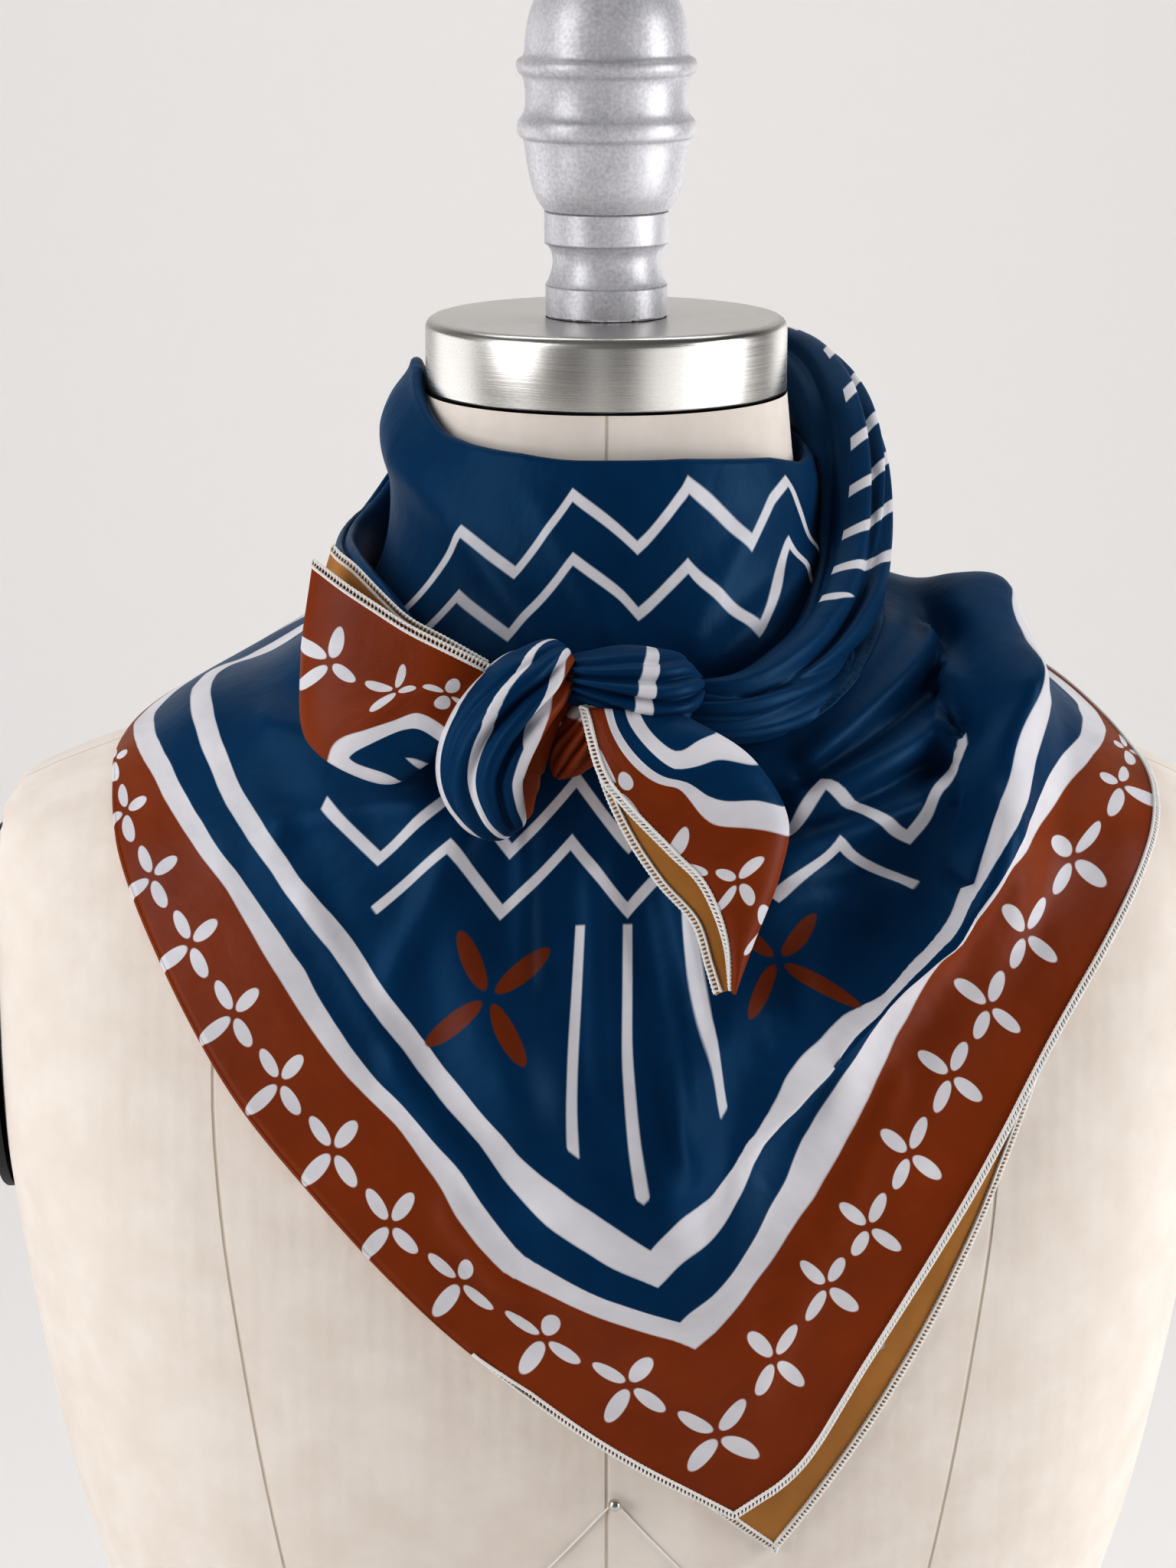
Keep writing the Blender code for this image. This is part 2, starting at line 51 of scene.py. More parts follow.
camera = bpy.data.objects.new("camera", bpy.data.cameras.new("camera"))
camera.location = CAMERA_PLACE
camera.rotation_euler = (math.radians(90 + CAMERA_PITCH), 0, 0)
camera.data.sensor_width = 36
camera.data.lens = 90
scene.collection.objects.link(camera)
scene.camera = camera


# Studio. A pale painted floor that sweeps up into a wall, one large soft window of light from the viewer's
# upper left, lamps over the wall and a pale sky that is dimmer on the right.
FLOOR_SIZE = 4.0          # metres to each side and to the front
WALL_FROM = 1.4           # where the floor begins to sweep up, in metres behind the neck
WALL_SWEEP = 1.0
WALL_HEIGHT = 3.2
LIGHTS = [
    # name, place in metres, aimed at, width, height, watts
    ("window", (-1.4, -0.85, 1.1), (0, 0, 0.6), 0.8, 1.7, 15.5),
    ("right_panel", (1.5, -0.35, 0.75), (0, 0, 0.5), 0.6, 1.3, 14),
    ("wall_wash", (0.0, 0.9, 2.9), (0, 2.2, 0.7), 3.4, 0.8, 25.5),
]
SKY_FROM = (-0.75, -0.35, 0.55)   # the side of the sky that is bright
SKY_DIM = 0.06
SKY_BRIGHT = 0.24


def linear(colour):
    """An sRGB hex colour as linear RGBA."""
    parts = [int(colour[i:i + 2], 16) / 255 for i in (1, 3, 5)]
    return (*[c / 12.92 if c <= 0.04045 else ((c + 0.055) / 1.055) ** 2.4 for c in parts], 1.0)


def add_node(tree, kind, links=None, **settings):
    """Adds a shader node. links gives its inputs a value, a socket or the first output of a node."""
    made = tree.nodes.new("ShaderNode" + kind)
    for name, value in settings.items():
        setattr(made, name, value)
    for slot, value in (links or {}).items():
        if isinstance(value, bpy.types.Node):
            value = value.outputs[0]
        if isinstance(value, bpy.types.NodeSocket):
            tree.links.new(value, made.inputs[slot])
        else:
            made.inputs[slot].default_value = value
    return made


def new_material(name):
    """A material with its node tree and its shader."""
    made = bpy.data.materials.new(name)
    made.use_nodes = True
    return made, made.node_tree, made.node_tree.nodes["Principled BSDF"]


def mesh_piece(name, points, faces, finish):
    """A smooth mesh object from points in millimetres."""
    mesh = bpy.data.meshes.new(name)
    mesh.from_pydata((np.asarray(points, float) / 1000).tolist(), [], faces)
    mesh.shade_smooth()
    mesh.materials.append(finish)
    piece = bpy.data.objects.new(name, mesh)
    scene.collection.objects.link(piece)
    return piece


# Emulsion paint, rolled on: quite matt, with a faint roller grain. It is drawn about 35 mm wide, because the
# real 2 mm is too fine to show.
matt_paint, tree, shader = new_material("matt pale floor paint")
shader.inputs["Base Color"].default_value = linear("#f1efee")
shader.inputs["Roughness"].default_value = 0.9
roller = add_node(tree, "TexNoise", {"Scale": 220.0, "Detail": 3.0})
roller_relief = add_node(tree, "Bump", {"Height": roller, "Strength": 0.15, "Distance": 0.0006})
tree.links.new(roller_relief.outputs["Normal"], shader.inputs["Normal"])
sweep = [(-FLOOR_SIZE, 0.0), (WALL_FROM, 0.0)]
for turn in np.radians(range(6, 91, 6)):
    sweep.append((WALL_FROM + WALL_SWEEP * math.sin(turn), WALL_SWEEP * (1 - math.cos(turn))))
sweep.append((WALL_FROM + WALL_SWEEP, WALL_HEIGHT))
points = [(side * FLOOR_SIZE * 1000, y * 1000, z * 1000) for y, z in sweep for side in (-1, 1)]
faces = [(2 * i, 2 * i + 1, 2 * i + 3, 2 * i + 2) for i in range(len(sweep) - 1)]
mesh_piece("floor", points, faces, matt_paint)

for name, place, aim, width, height, watts in LIGHTS:
    lamp = bpy.data.objects.new(name, bpy.data.lights.new(name, "AREA"))
    lamp.data.shape = "RECTANGLE"
    lamp.data.size = width
    lamp.data.size_y = height
    lamp.data.energy = watts
    lamp.location = place
    lamp.rotation_euler = (Vector(aim) - lamp.location).to_track_quat("-Z", "Y").to_euler()
    scene.collection.objects.link(lamp)

sky = bpy.data.worlds.new("pale sky")
scene.world = sky
sky.use_nodes = True
glow = sky.node_tree.nodes["Background"]
glow.inputs["Color"].default_value = linear("#eceaea")
heading = add_node(sky.node_tree, "TexCoord")
facing = add_node(sky.node_tree, "VectorMath", {0: heading.outputs["Generated"], 1: SKY_FROM},
                  operation="DOT_PRODUCT")
strength = add_node(sky.node_tree, "MapRange", {"Value": facing.outputs["Value"], "From Min": -0.6,
                                                "From Max": 0.9, "To Min": SKY_DIM, "To Max": SKY_BRIGHT})
sky.node_tree.links.new(strength.outputs["Result"], glow.inputs["Strength"])
scene.view_settings.view_transform = "Standard"
scene.view_settings.look = "High Contrast"


# Body of the dress form: a moulded shell, padded thinly and covered with cream linen canvas that is sewn in
# long panels. The seams run down the front, the bust, the sides and the back.
FORM_LEVELS = [
    # z, half width, front, back, squareness
    (15.3, 168, 104, 112, 2.2),
    (32, 176, 110, 119, 2.2),
    (80, 172, 108, 120, 2.2),
    (135, 152, 98, 98, 2.2),
    (190, 140, 92, 76, 2.2),
    (245, 153, 103, 75, 2.3),
    (300, 169, 117, 84, 2.4),
    (345, 178, 126, 91, 2.5),
    (390, 185, 129, 96, 2.6),
    (430, 190, 125, 99, 2.7),
    (470, 194, 114, 99, 2.7),
    (505, 195, 101, 96, 2.5),
    (530, 190, 89, 91, 2.3),
    (548, 151, 78, 83, 2.1),
    (562, 110, 69, 75, 2.0),
    (576, 84, 64, 68, 2.0),
    (592, 69, 61, 63, 2.0),
    (612, 62, 59.5, 60, 2.0),
    (634, 58, 57.5, 57.5, 2.0),
    (657.2, 55.6, 55.6, 55.6, 2.0),
]
ARMHOLE_X = 187.0
FORM_SIDES = 144
FORM_STEPS = 4            # rings of mesh for each row of FORM_LEVELS
SEAM_COLUMNS = (0, 18, 36, 54, 72, 96, 108, 120)      # of the sides, counted from +X towards the back
NECK_SEAMS = (36, 108)    # only these run up the neck
NECK_FROM = 585.0
SEAM_PUCKER = 0.5         # how far the cloth is drawn in at a seam
SEAM_REACH = 5.0          # how far to each side
PIN_PLACE = (2.3, 345.0)  # x and z of the pin on the front seam
CANVAS_THREAD = 0.9       # 2 pi times this, 5.7 mm, is the pitch drawn; the real 0.4 mm is too fine to show


def smooth_row(rows, t):
    """Reads a table at t, counted in rows, along a Catmull-Rom curve through its rows."""
    table = np.asarray(rows, float)
    last = len(table) - 1
    i = min(max(int(math.floor(t)), 0), last - 1)
    f = min(max(t - i, 0.0), 1.0)
    p1, p2 = table[i], table[i + 1]
    p0 = table[i - 1] if i > 0 else 2 * p1 - p2
    p3 = table[i + 2] if i + 2 <= last else 2 * p2 - p1
    bend = 2 * p0 - 5 * p1 + 4 * p2 - p3
    return 0.5 * (2 * p1 + (p2 - p0) * f + bend * f * f + (p3 - p0 + 3 * (p1 - p2)) * f ** 3)


def surface(name, grid, maps, finish, closed=False):
    """A mesh through rows of points, with a UV map for each array of maps. Where the rows are closed, the
    maps have one column more."""
    grid = np.asarray(grid, float)
    rows, columns = grid.shape[:2]
    span = columns if closed else columns - 1
    i, k = (a.ravel() for a in np.meshgrid(range(rows - 1), range(span), indexing="ij"))
    n = (k + 1) % columns
    quads = [i * columns + k, i * columns + n, (i + 1) * columns + n, (i + 1) * columns + k]
    piece = mesh_piece(name, grid.reshape(-1, 3), np.stack(quads, axis=1).tolist(), finish)
    for label, values in maps.items():
        corners = np.stack([values[i, k], values[i, k + 1], values[i + 1, k + 1], values[i + 1, k]], axis=1)
        piece.data.uv_layers.new(name=label).uv.foreach_set("vector", corners.ravel())
    return piece


def form_ring(z, half_width, front, back, squareness, sides):
    """One level of the form: a rounded outline that is cut flat at the armholes."""
    ring = []
    for k in range(sides):
        turn = 2 * math.pi * k / sides
        c, s = math.cos(turn), math.sin(turn)
        x = half_width * math.copysign(abs(c) ** (2 / squareness), c)
        y = (back if s > 0 else front) * math.copysign(abs(s) ** (2 / squareness), s)
        ring.append((min(max(x, -ARMHOLE_X), ARMHOLE_X), y, z))
    return ring


# Woven linen: matt, with a faint fuzz at its edges, slubs about 17 mm long that cloud the cream, and darker
# grooves where it is sewn.
canvas, tree, shader = new_material("cream linen canvas")
shader.inputs["Roughness"].default_value = 0.88
shader.inputs["Specular IOR Level"].default_value = 0.25
shader.inputs["Sheen Weight"].default_value = 0.15
place = add_node(tree, "TexCoord")
yarns = {"Vector": place.outputs["Object"], "Scale": 1000 / CANVAS_THREAD / 20, "Distortion": 2.0,
         "Detail": 1.0, "Detail Scale": 4.0}
warp = add_node(tree, "TexWave", yarns, bands_direction="Z")
weft = add_node(tree, "TexWave", yarns, bands_direction="X")
weave = add_node(tree, "Math", {0: warp.outputs["Fac"], 1: weft.outputs["Fac"]}, operation="ADD")
slub = add_node(tree, "TexNoise", {"Vector": place.outputs["Object"], "Scale": 60.0, "Detail": 6.0})
tone = add_node(tree, "ValToRGB", {"Fac": slub})
tone.color_ramp.elements[0].position = 0.35
tone.color_ramp.elements[0].color = linear("#e6dcd3")
tone.color_ramp.elements[1].position = 0.65
tone.color_ramp.elements[1].color = linear("#ece4dc")
seam_map = add_node(tree, "UVMap", uv_map="seam")
seam_at = add_node(tree, "SeparateXYZ", {"Vector": seam_map})
groove = add_node(tree, "MapRange", {"Value": seam_at.outputs["X"], "From Min": 0.0001, "From Max": 0.0008},
                  interpolation_type="SMOOTHSTEP")
seam_tone = add_node(tree, "Mix", {"Factor": groove, "A": linear("#c9bcae"), "B": tone.outputs["Color"]},
                     data_type="RGBA")
tree.links.new(seam_tone.outputs["Result"], shader.inputs["Base Color"])
relief = add_node(tree, "Bump", {"Height": weave, "Strength": 0.2, "Distance": 0.0002})
dent = add_node(tree, "Bump", {"Height": groove, "Strength": 0.6, "Distance": 0.0005, "Normal": relief})
tree.links.new(dent.outputs["Normal"], shader.inputs["Normal"])

levels = [smooth_row(FORM_LEVELS, t / FORM_STEPS) for t in range((len(FORM_LEVELS) - 1) * FORM_STEPS + 1)]
rings = [form_ring(*level, FORM_SIDES) for level in levels]
body_grid = np.array(rings)
seam_gap = np.zeros((len(rings), FORM_SIDES + 1))
for i, ring in enumerate(body_grid):
    step = np.linalg.norm(np.roll(ring, -1, axis=0) - ring, axis=1)
    run = np.concatenate([[0], np.cumsum(step)])
    seams = NECK_SEAMS if ring[0, 2] > NECK_FROM else SEAM_COLUMNS
    near = [np.minimum(abs(run - run[k]), run[-1] - abs(run - run[k])) for k in seams]
    seam_gap[i] = np.min(near, axis=0)
pull = SEAM_PUCKER * np.exp(-(seam_gap[:, :-1] / SEAM_REACH) ** 2)
body_grid[:, :, :2] *= 1 - pull[:, :, None] / np.linalg.norm(body_grid[:, :, :2], axis=2, keepdims=True)
seam_uv = np.stack([seam_gap / 1000, np.repeat(body_grid[:, :1, 2], FORM_SIDES + 1, axis=1) / 1000], axis=2)
body = surface("canvas_body", body_grid, {"seam": seam_uv}, canvas, closed=True)
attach(body, "root")
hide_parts("form_body")


# Steel pin. A ball-headed dressmaker's pin stands in the front seam, with two ends of white thread that
# hang from it down the canvas.
PIN_HEAD = 1.9
PIN_SHANK = 0.35
PIN_LENGTH = 7.0          # of the shank that shows or stands in the canvas
THREAD_RADIUS = 0.3
THREAD_CLEAR = 0.35       # middle of the thread to the canvas
THREAD_ENDS = [
    # x and z of the lower end of each thread
    (-46.0, 288.0),
    (50.0, 287.0),
]


def tube(path, radius, sides):
    """Points and faces of a thin tube along a path."""
    path = np.asarray(path, float)
    along = np.gradient(path, axis=0)
    along /= np.linalg.norm(along, axis=1, keepdims=True)
    side = np.cross(along, [0.31, 0.17, 0.94])
    side /= np.linalg.norm(side, axis=1, keepdims=True)
    up = np.cross(along, side)
    turns = np.linspace(0, 2 * math.pi, sides, endpoint=False)
    ring = side[:, None] * np.cos(turns)[None, :, None] + up[:, None] * np.sin(turns)[None, :, None]
    points = (path[:, None] + ring * radius).reshape(-1, 3)
    i, k = (a.ravel() for a in np.meshgrid(range(len(path) - 1), range(sides), indexing="ij"))
    n = (k + 1) % sides
    return points, np.stack([i * sides + k, i * sides + n, (i + 1) * sides + n, (i + 1) * sides + k], axis=1)


def joined_tubes(name, tubes, finish):
    """One mesh object of several tubes."""
    points, faces, start = [], [], 0
    for spots, quads in tubes:
        points.append(spots)
        faces.append(quads + start)
        start += len(spots)
    return mesh_piece(name, np.concatenate(points), np.concatenate(faces).tolist(), finish)


def turned(name, profile, sides, finish):
    """A lathe-turned piece round the neck's axis, from a profile of radius and height, top to foot."""
    turns = np.linspace(0, 2 * math.pi, sides, endpoint=False)
    grid = [[(r * math.cos(a), r * math.sin(a), z) for a in turns] for r, z in profile]
    run = np.concatenate([[0], np.cumsum(np.linalg.norm(np.diff(np.array(profile), axis=0), axis=1))])
    across = np.linspace(0, 1, sides + 1)
    maps = {"turned": np.stack(np.meshgrid(across, run / 1000), axis=2)}
    return surface(name, grid, maps, finish, closed=True)


# Polished steel: small sharp reflections on a light grey.
bright_steel, tree, shader = new_material("polished pin steel")
shader.inputs["Base Color"].default_value = linear("#cfcdca")
shader.inputs["Metallic"].default_value = 1.0
shader.inputs["Roughness"].default_value = 0.22

# Twisted cotton: white and soft, with a fine twist that only breaks up its highlights.
cotton, tree, shader = new_material("white cotton thread")
shader.inputs["Base Color"].default_value = linear("#f3f1ee")
shader.inputs["Roughness"].default_value = 0.7
shader.inputs["Sheen Weight"].default_value = 0.3
twist = add_node(tree, "TexWave", {"Scale": 900.0, "Distortion": 1.0}, bands_direction="DIAGONAL")
twist_relief = add_node(tree, "Bump", {"Height": twist.outputs["Fac"], "Strength": 0.4, "Distance": 0.0001})
tree.links.new(twist_relief.outputs["Normal"], shader.inputs["Normal"])


def form_tree_of(grid):
    """A search tree over rings of points that are read upwards."""
    rows, columns = grid.shape[:2]
    faces = [(i * columns + k, i * columns + (k + 1) % columns, (i + 1) * columns + (k + 1) % columns,
              (i + 1) * columns + k) for i in range(rows - 1) for k in range(columns)]
    return BVHTree.FromPolygons([Vector(p) for p in grid.reshape(-1, 3)], faces)


form_tree = form_tree_of(body_grid)


def on_form(x, z, clearance):
    """The point in front of the form at x and z, as far off it as the clearance."""
    hit, normal, _, _ = form_tree.ray_cast(Vector((x, -400, z)), Vector((0, 1, 0)))
    return np.array(hit + normal * clearance)


pin_x, pin_z = PIN_PLACE
profile = [(PIN_HEAD * math.sin(a), PIN_HEAD * math.cos(a)) for a in np.linspace(0, math.pi * 0.93, 14)]
profile += [(PIN_SHANK, -PIN_HEAD - 0.2), (PIN_SHANK, -PIN_HEAD - PIN_LENGTH)]
pin = turned("pin", profile, 24, bright_steel)
pin.location = np.array(on_form(pin_x, pin_z, PIN_HEAD + 0.6)) / 1000
pin.rotation_euler = (math.radians(90), 0, 0)
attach(pin, "root")
ends = []
for end_x, end_z in THREAD_ENDS:
    spots = [(pin_x + (end_x - pin_x) * t, pin_z + (end_z - pin_z) * t) for t in np.linspace(0, 1, 30)]
    ends.append(tube([on_form(x, z, THREAD_CLEAR) for x, z in spots], THREAD_RADIUS, 6))
threads = joined_tubes("pin_threads", ends, cotton)
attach(threads, "root")


# Neck cap: a disc of stainless steel, turned on a lathe and brushed round its axis, so that it draws every
# light into a bright upright band. Its upper rim is rounded off and its lower one just broken.
CAP_TOP = 680.0
CAP_HEIGHT = 22.5
CAP_RADIUS = 55.5
CAP_EDGE = 3.4            # radius of the upper rim
BRUSHING = 0.35           # spacing of the brush marks
STEEL_CARDS = [
    # turn from the front in degrees, width in metres, watts: white cards that only the bright parts mirror
    (-112, 1.1, 3.4),
    (-54, 0.2, 0.45),
    (-5, 0.2, 0.35),
    (54, 1.7, 4.4),
    (142, 0.6, 1.6),
]
CARD_REACH = 1.35         # metres from the neck
CARD_MIDDLE = 0.42        # metres above the floor
CARD_HEIGHT = 0.9

bright_parts = bpy.data.collections.new("bright_parts")

# Stainless steel, brushed while it turned: the marks run round, so highlights smear up and down.
steel, tree, shader = new_material("brushed stainless steel")
shader.inputs["Base Color"].default_value = linear("#c3c1be")
shader.inputs["Metallic"].default_value = 1.0
shader.inputs["Roughness"].default_value = 0.3
shader.inputs["Anisotropic"].default_value = 0.6
brushed_round = add_node(tree, "Tangent", direction_type="RADIAL", axis="Z")
tree.links.new(brushed_round.outputs["Tangent"], shader.inputs["Tangent"])
place = add_node(tree, "TexCoord")
marks = add_node(tree, "Mapping", {"Vector": place.outputs["Object"], "Scale": (6, 6, 1000 / BRUSHING)})
brush = add_node(tree, "TexNoise", {"Vector": marks, "Scale": 1.0, "Detail": 4.0})
gloss = add_node(tree, "MapRange", {"Value": brush, "To Min": 0.2, "To Max": 0.34})
tree.links.new(gloss.outputs["Result"], shader.inputs["Roughness"])
scratches = add_node(tree, "Bump", {"Height": brush, "Strength": 0.12, "Distance": 0.0002})
tree.links.new(scratches.outputs["Normal"], shader.inputs["Normal"])

bottom = CAP_TOP - CAP_HEIGHT
profile = [(0.01, CAP_TOP), (18.0, CAP_TOP), (CAP_RADIUS - CAP_EDGE - 0.6, CAP_TOP)]
profile += [(CAP_RADIUS - CAP_EDGE + CAP_EDGE * math.sin(a), CAP_TOP - CAP_EDGE + CAP_EDGE * math.cos(a))
            for a in np.radians((8, 25, 45, 65, 82))]
profile += [(CAP_RADIUS, CAP_TOP - CAP_EDGE - 0.6), (CAP_RADIUS, bottom + 1.2)]
profile += [(CAP_RADIUS - 0.2, bottom + 0.4), (CAP_RADIUS - 0.8, bottom), (0.01, bottom)]
cap = turned("neck_cap", profile, 128, steel)
for turn, width, watts in STEEL_CARDS:
    name = "card_at_" + str(turn % 360)
    card = bpy.data.objects.new(name, bpy.data.lights.new(name, "AREA"))
    card.data.shape = "RECTANGLE"
    card.data.size = width
    card.data.size_y = CARD_HEIGHT
    card.data.energy = watts
    card.location = (CARD_REACH * math.sin(math.radians(turn)), -CARD_REACH * math.cos(math.radians(turn)),
                     CARD_MIDDLE)
    card.rotation_euler = (Vector((0, 0, CARD_MIDDLE)) - card.location).to_track_quat("-Z", "Y").to_euler()
    card.visible_camera = False
    scene.collection.objects.link(card)
    card.light_linking.receiver_collection = bright_parts
bright_parts.objects.link(cap)
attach(cap, "root")
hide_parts("form_neck_cap")


# Finial: turned hardwood with two beads, sprayed with satin silver paint that leaves a fine grain. A steel
# screw through its foot holds it on the cap.
FINIAL_PROFILE = [
    # height above the cap, radius
    (0.3, 18.6), (0.9, 18.6), (9.0, 18.6), (9.8, 18.5), (11.2, 17.7), (14.0, 16.8), (16.6, 16.4),
    (19.4, 16.8), (21.6, 17.9), (22.3, 18.6), (23.0, 18.9), (31.4, 18.9), (32.4, 19.1), (36.0, 21.4),
    (40.0, 22.9), (46.5, 24.2), (53.2, 25.2), (54.2, 26.2), (55.2, 26.9), (57.4, 27.2), (59.4, 26.7),
    (60.4, 25.8), (62.4, 24.9), (66.0, 24.6), (70.0, 24.9), (72.4, 25.6), (73.6, 26.7), (75.6, 27.4),
    (77.4, 26.9), (78.4, 25.4), (80.0, 24.9), (84.0, 24.6), (90.8, 23.4), (97.4, 20.6), (103.0, 16.4),
    (107.6, 11.0), (110.6, 5.4), (111.6, 0.01),
]
FINIAL_STEPS = 3          # rings of mesh for each row of the profile

# Sprayed satin paint: broad soft highlights over a grain of 1.1 mm, with faint clouds 30 mm wide.
silver_paint, tree, shader = new_material("satin silver paint on turned wood")
shader.inputs["Metallic"].default_value = 0.25
shader.inputs["Roughness"].default_value = 0.42
place = add_node(tree, "TexCoord")
grain = add_node(tree, "TexNoise", {"Vector": place.outputs["Object"], "Scale": 900.0, "Detail": 2.0})
cloud = add_node(tree, "TexNoise", {"Vector": place.outputs["Object"], "Scale": 35.0, "Detail": 3.0})
paint_mix = add_node(tree, "Math", {0: grain, 1: 0.5}, operation="MULTIPLY")
paint_mix = add_node(tree, "Math", {0: cloud, 1: 0.5, 2: paint_mix}, operation="MULTIPLY_ADD")
paint_tone = add_node(tree, "ValToRGB", {"Fac": paint_mix})
paint_tone.color_ramp.elements[0].position = 0.38
paint_tone.color_ramp.elements[0].color = linear("#aeadb1")
paint_tone.color_ramp.elements[1].position = 0.62
paint_tone.color_ramp.elements[1].color = linear("#c9c8cc")
tree.links.new(paint_tone.outputs["Color"], shader.inputs["Base Color"])
orange_peel = add_node(tree, "Bump", {"Height": grain, "Strength": 0.25, "Distance": 0.0002})
tree.links.new(orange_peel.outputs["Normal"], shader.inputs["Normal"])

profile = []
finial_rows = [(r, CAP_TOP + z) for z, r in reversed(FINIAL_PROFILE)]
for t in range((len(finial_rows) - 1) * FINIAL_STEPS + 1):
    r, z = smooth_row(finial_rows, t / FINIAL_STEPS)
    profile.append((max(r, 0.01), z))
profile.append((0.01, CAP_TOP + 0.3))
finial = turned("finial", profile, 96, silver_paint)
bright_parts.objects.link(finial)
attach(finial, "root")
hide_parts("form_finial")


# Arm plates and base board: black moulded discs close the armholes, each held by two screws, and a board of
# oiled beech plywood closes the form below.
PLATE_HEIGHT = 118.0
PLATE_WIDTH = 92.0
PLATE_CENTRE = (-6.0, 462.0)      # y and z
PLATE_PROFILE = [
    # depth from the armhole, share of the plate's size
    (0.3, 1.0), (3.0, 1.0), (3.7, 0.99), (4.2, 0.965), (4.3, 0.93), (3.9, 0.90), (3.7, 0.86), (3.7, 0.5),
    (3.7, 0.001),
]
PLATE_FACE = 3.7          # depth of its face
SCREW_HEIGHTS = (-38.0, 38.0)     # above and below the plate's middle
SCREW_PROFILE = [
    # radius, height over the plate
    (0.01, 1.1), (2.4, 1.0), (3.6, 0.5), (3.9, 0.0),
]
BOARD_HEIGHT = 15.0
BOARD_INSET = 7.0
BOARD_EDGE = 1.5
VENEER = 1.5              # thickness of one layer of the plywood

# Moulded plastic: dull black, with a grain finer than 0.2 mm that takes the shine off.
black_plastic, tree, shader = new_material("moulded black plastic")
shader.inputs["Base Color"].default_value = linear("#1f1f21")
shader.inputs["Roughness"].default_value = 0.5
texture = add_node(tree, "TexNoise", {"Scale": 700.0, "Detail": 2.0})
texture_relief = add_node(tree, "Bump", {"Height": texture, "Strength": 0.3, "Distance": 0.0003})
tree.links.new(texture_relief.outputs["Normal"], shader.inputs["Normal"])

for side, label in ((-1, "left"), (1, "right")):
    grid = []
    for depth, share in PLATE_PROFILE:
        turns = np.linspace(0, 2 * math.pi, 96, endpoint=False) * side
        grid.append([(side * (ARMHOLE_X + depth), PLATE_CENTRE[0] + PLATE_WIDTH / 2 * share * math.cos(a),
                      PLATE_CENTRE[1] + PLATE_HEIGHT / 2 * share * math.sin(a)) for a in turns])
    plate = surface("arm_plate_" + label, grid, {}, black_plastic, closed=True)
    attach(plate, "root")
    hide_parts("form_arm_plate_" + label)
    for height in SCREW_HEIGHTS:
        level = "low" if height < 0 else "high"
        screw = turned("screw_%s_%s" % (label, level), SCREW_PROFILE, 24, bright_steel)
        screw.location = (side * (ARMHOLE_X + PLATE_FACE) / 1000, PLATE_CENTRE[0] / 1000,
                          (PLATE_CENTRE[1] + height) / 1000)
        screw.rotation_euler = (0, math.radians(90 * side), 0)
        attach(screw, "root")

# Oiled beech: warm and half matt, with the layers of the plywood showing on its edge.
beech, tree, shader = new_material("oiled beech plywood")
shader.inputs["Roughness"].default_value = 0.55
place = add_node(tree, "TexCoord")
layers = add_node(tree, "Mapping", {"Vector": place.outputs["Object"], "Scale": (3, 40, 1000 / VENEER / 2)})
figure = add_node(tree, "TexNoise", {"Vector": layers, "Scale": 1.0, "Detail": 6.0, "Roughness": 0.6})
wood_tone = add_node(tree, "ValToRGB", {"Fac": figure})
wood_tone.color_ramp.elements[0].position = 0.35
wood_tone.color_ramp.elements[0].color = linear("#8d6238")
wood_tone.color_ramp.elements[1].position = 0.65
wood_tone.color_ramp.elements[1].color = linear("#c79c68")
tree.links.new(wood_tone.outputs["Color"], shader.inputs["Base Color"])
pores = add_node(tree, "Bump", {"Height": figure, "Strength": 0.2, "Distance": 0.0004})
tree.links.new(pores.outputs["Normal"], shader.inputs["Normal"])

_, half_width, front, back, squareness = FORM_LEVELS[0]
board_rows = [(0.0, -60), (0.0, 0), (BOARD_EDGE, BOARD_EDGE), (BOARD_HEIGHT - BOARD_EDGE, BOARD_EDGE),
              (BOARD_HEIGHT, 0), (BOARD_HEIGHT, -60)]
grid = []
for z, out in board_rows:
    inset = BOARD_INSET + BOARD_EDGE - out
    grid.append(form_ring(z, half_width - inset, front - inset, back - inset, squareness, FORM_SIDES))
grid.insert(0, [(0, 0, 0.0)] * FORM_SIDES)
grid.append([(0, 0, BOARD_HEIGHT)] * FORM_SIDES)
board = surface("base_board", grid, {}, beech, closed=True)
board.data.set_sharp_from_angle(angle=math.radians(50))
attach(board, "root")
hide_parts("form_base_board")


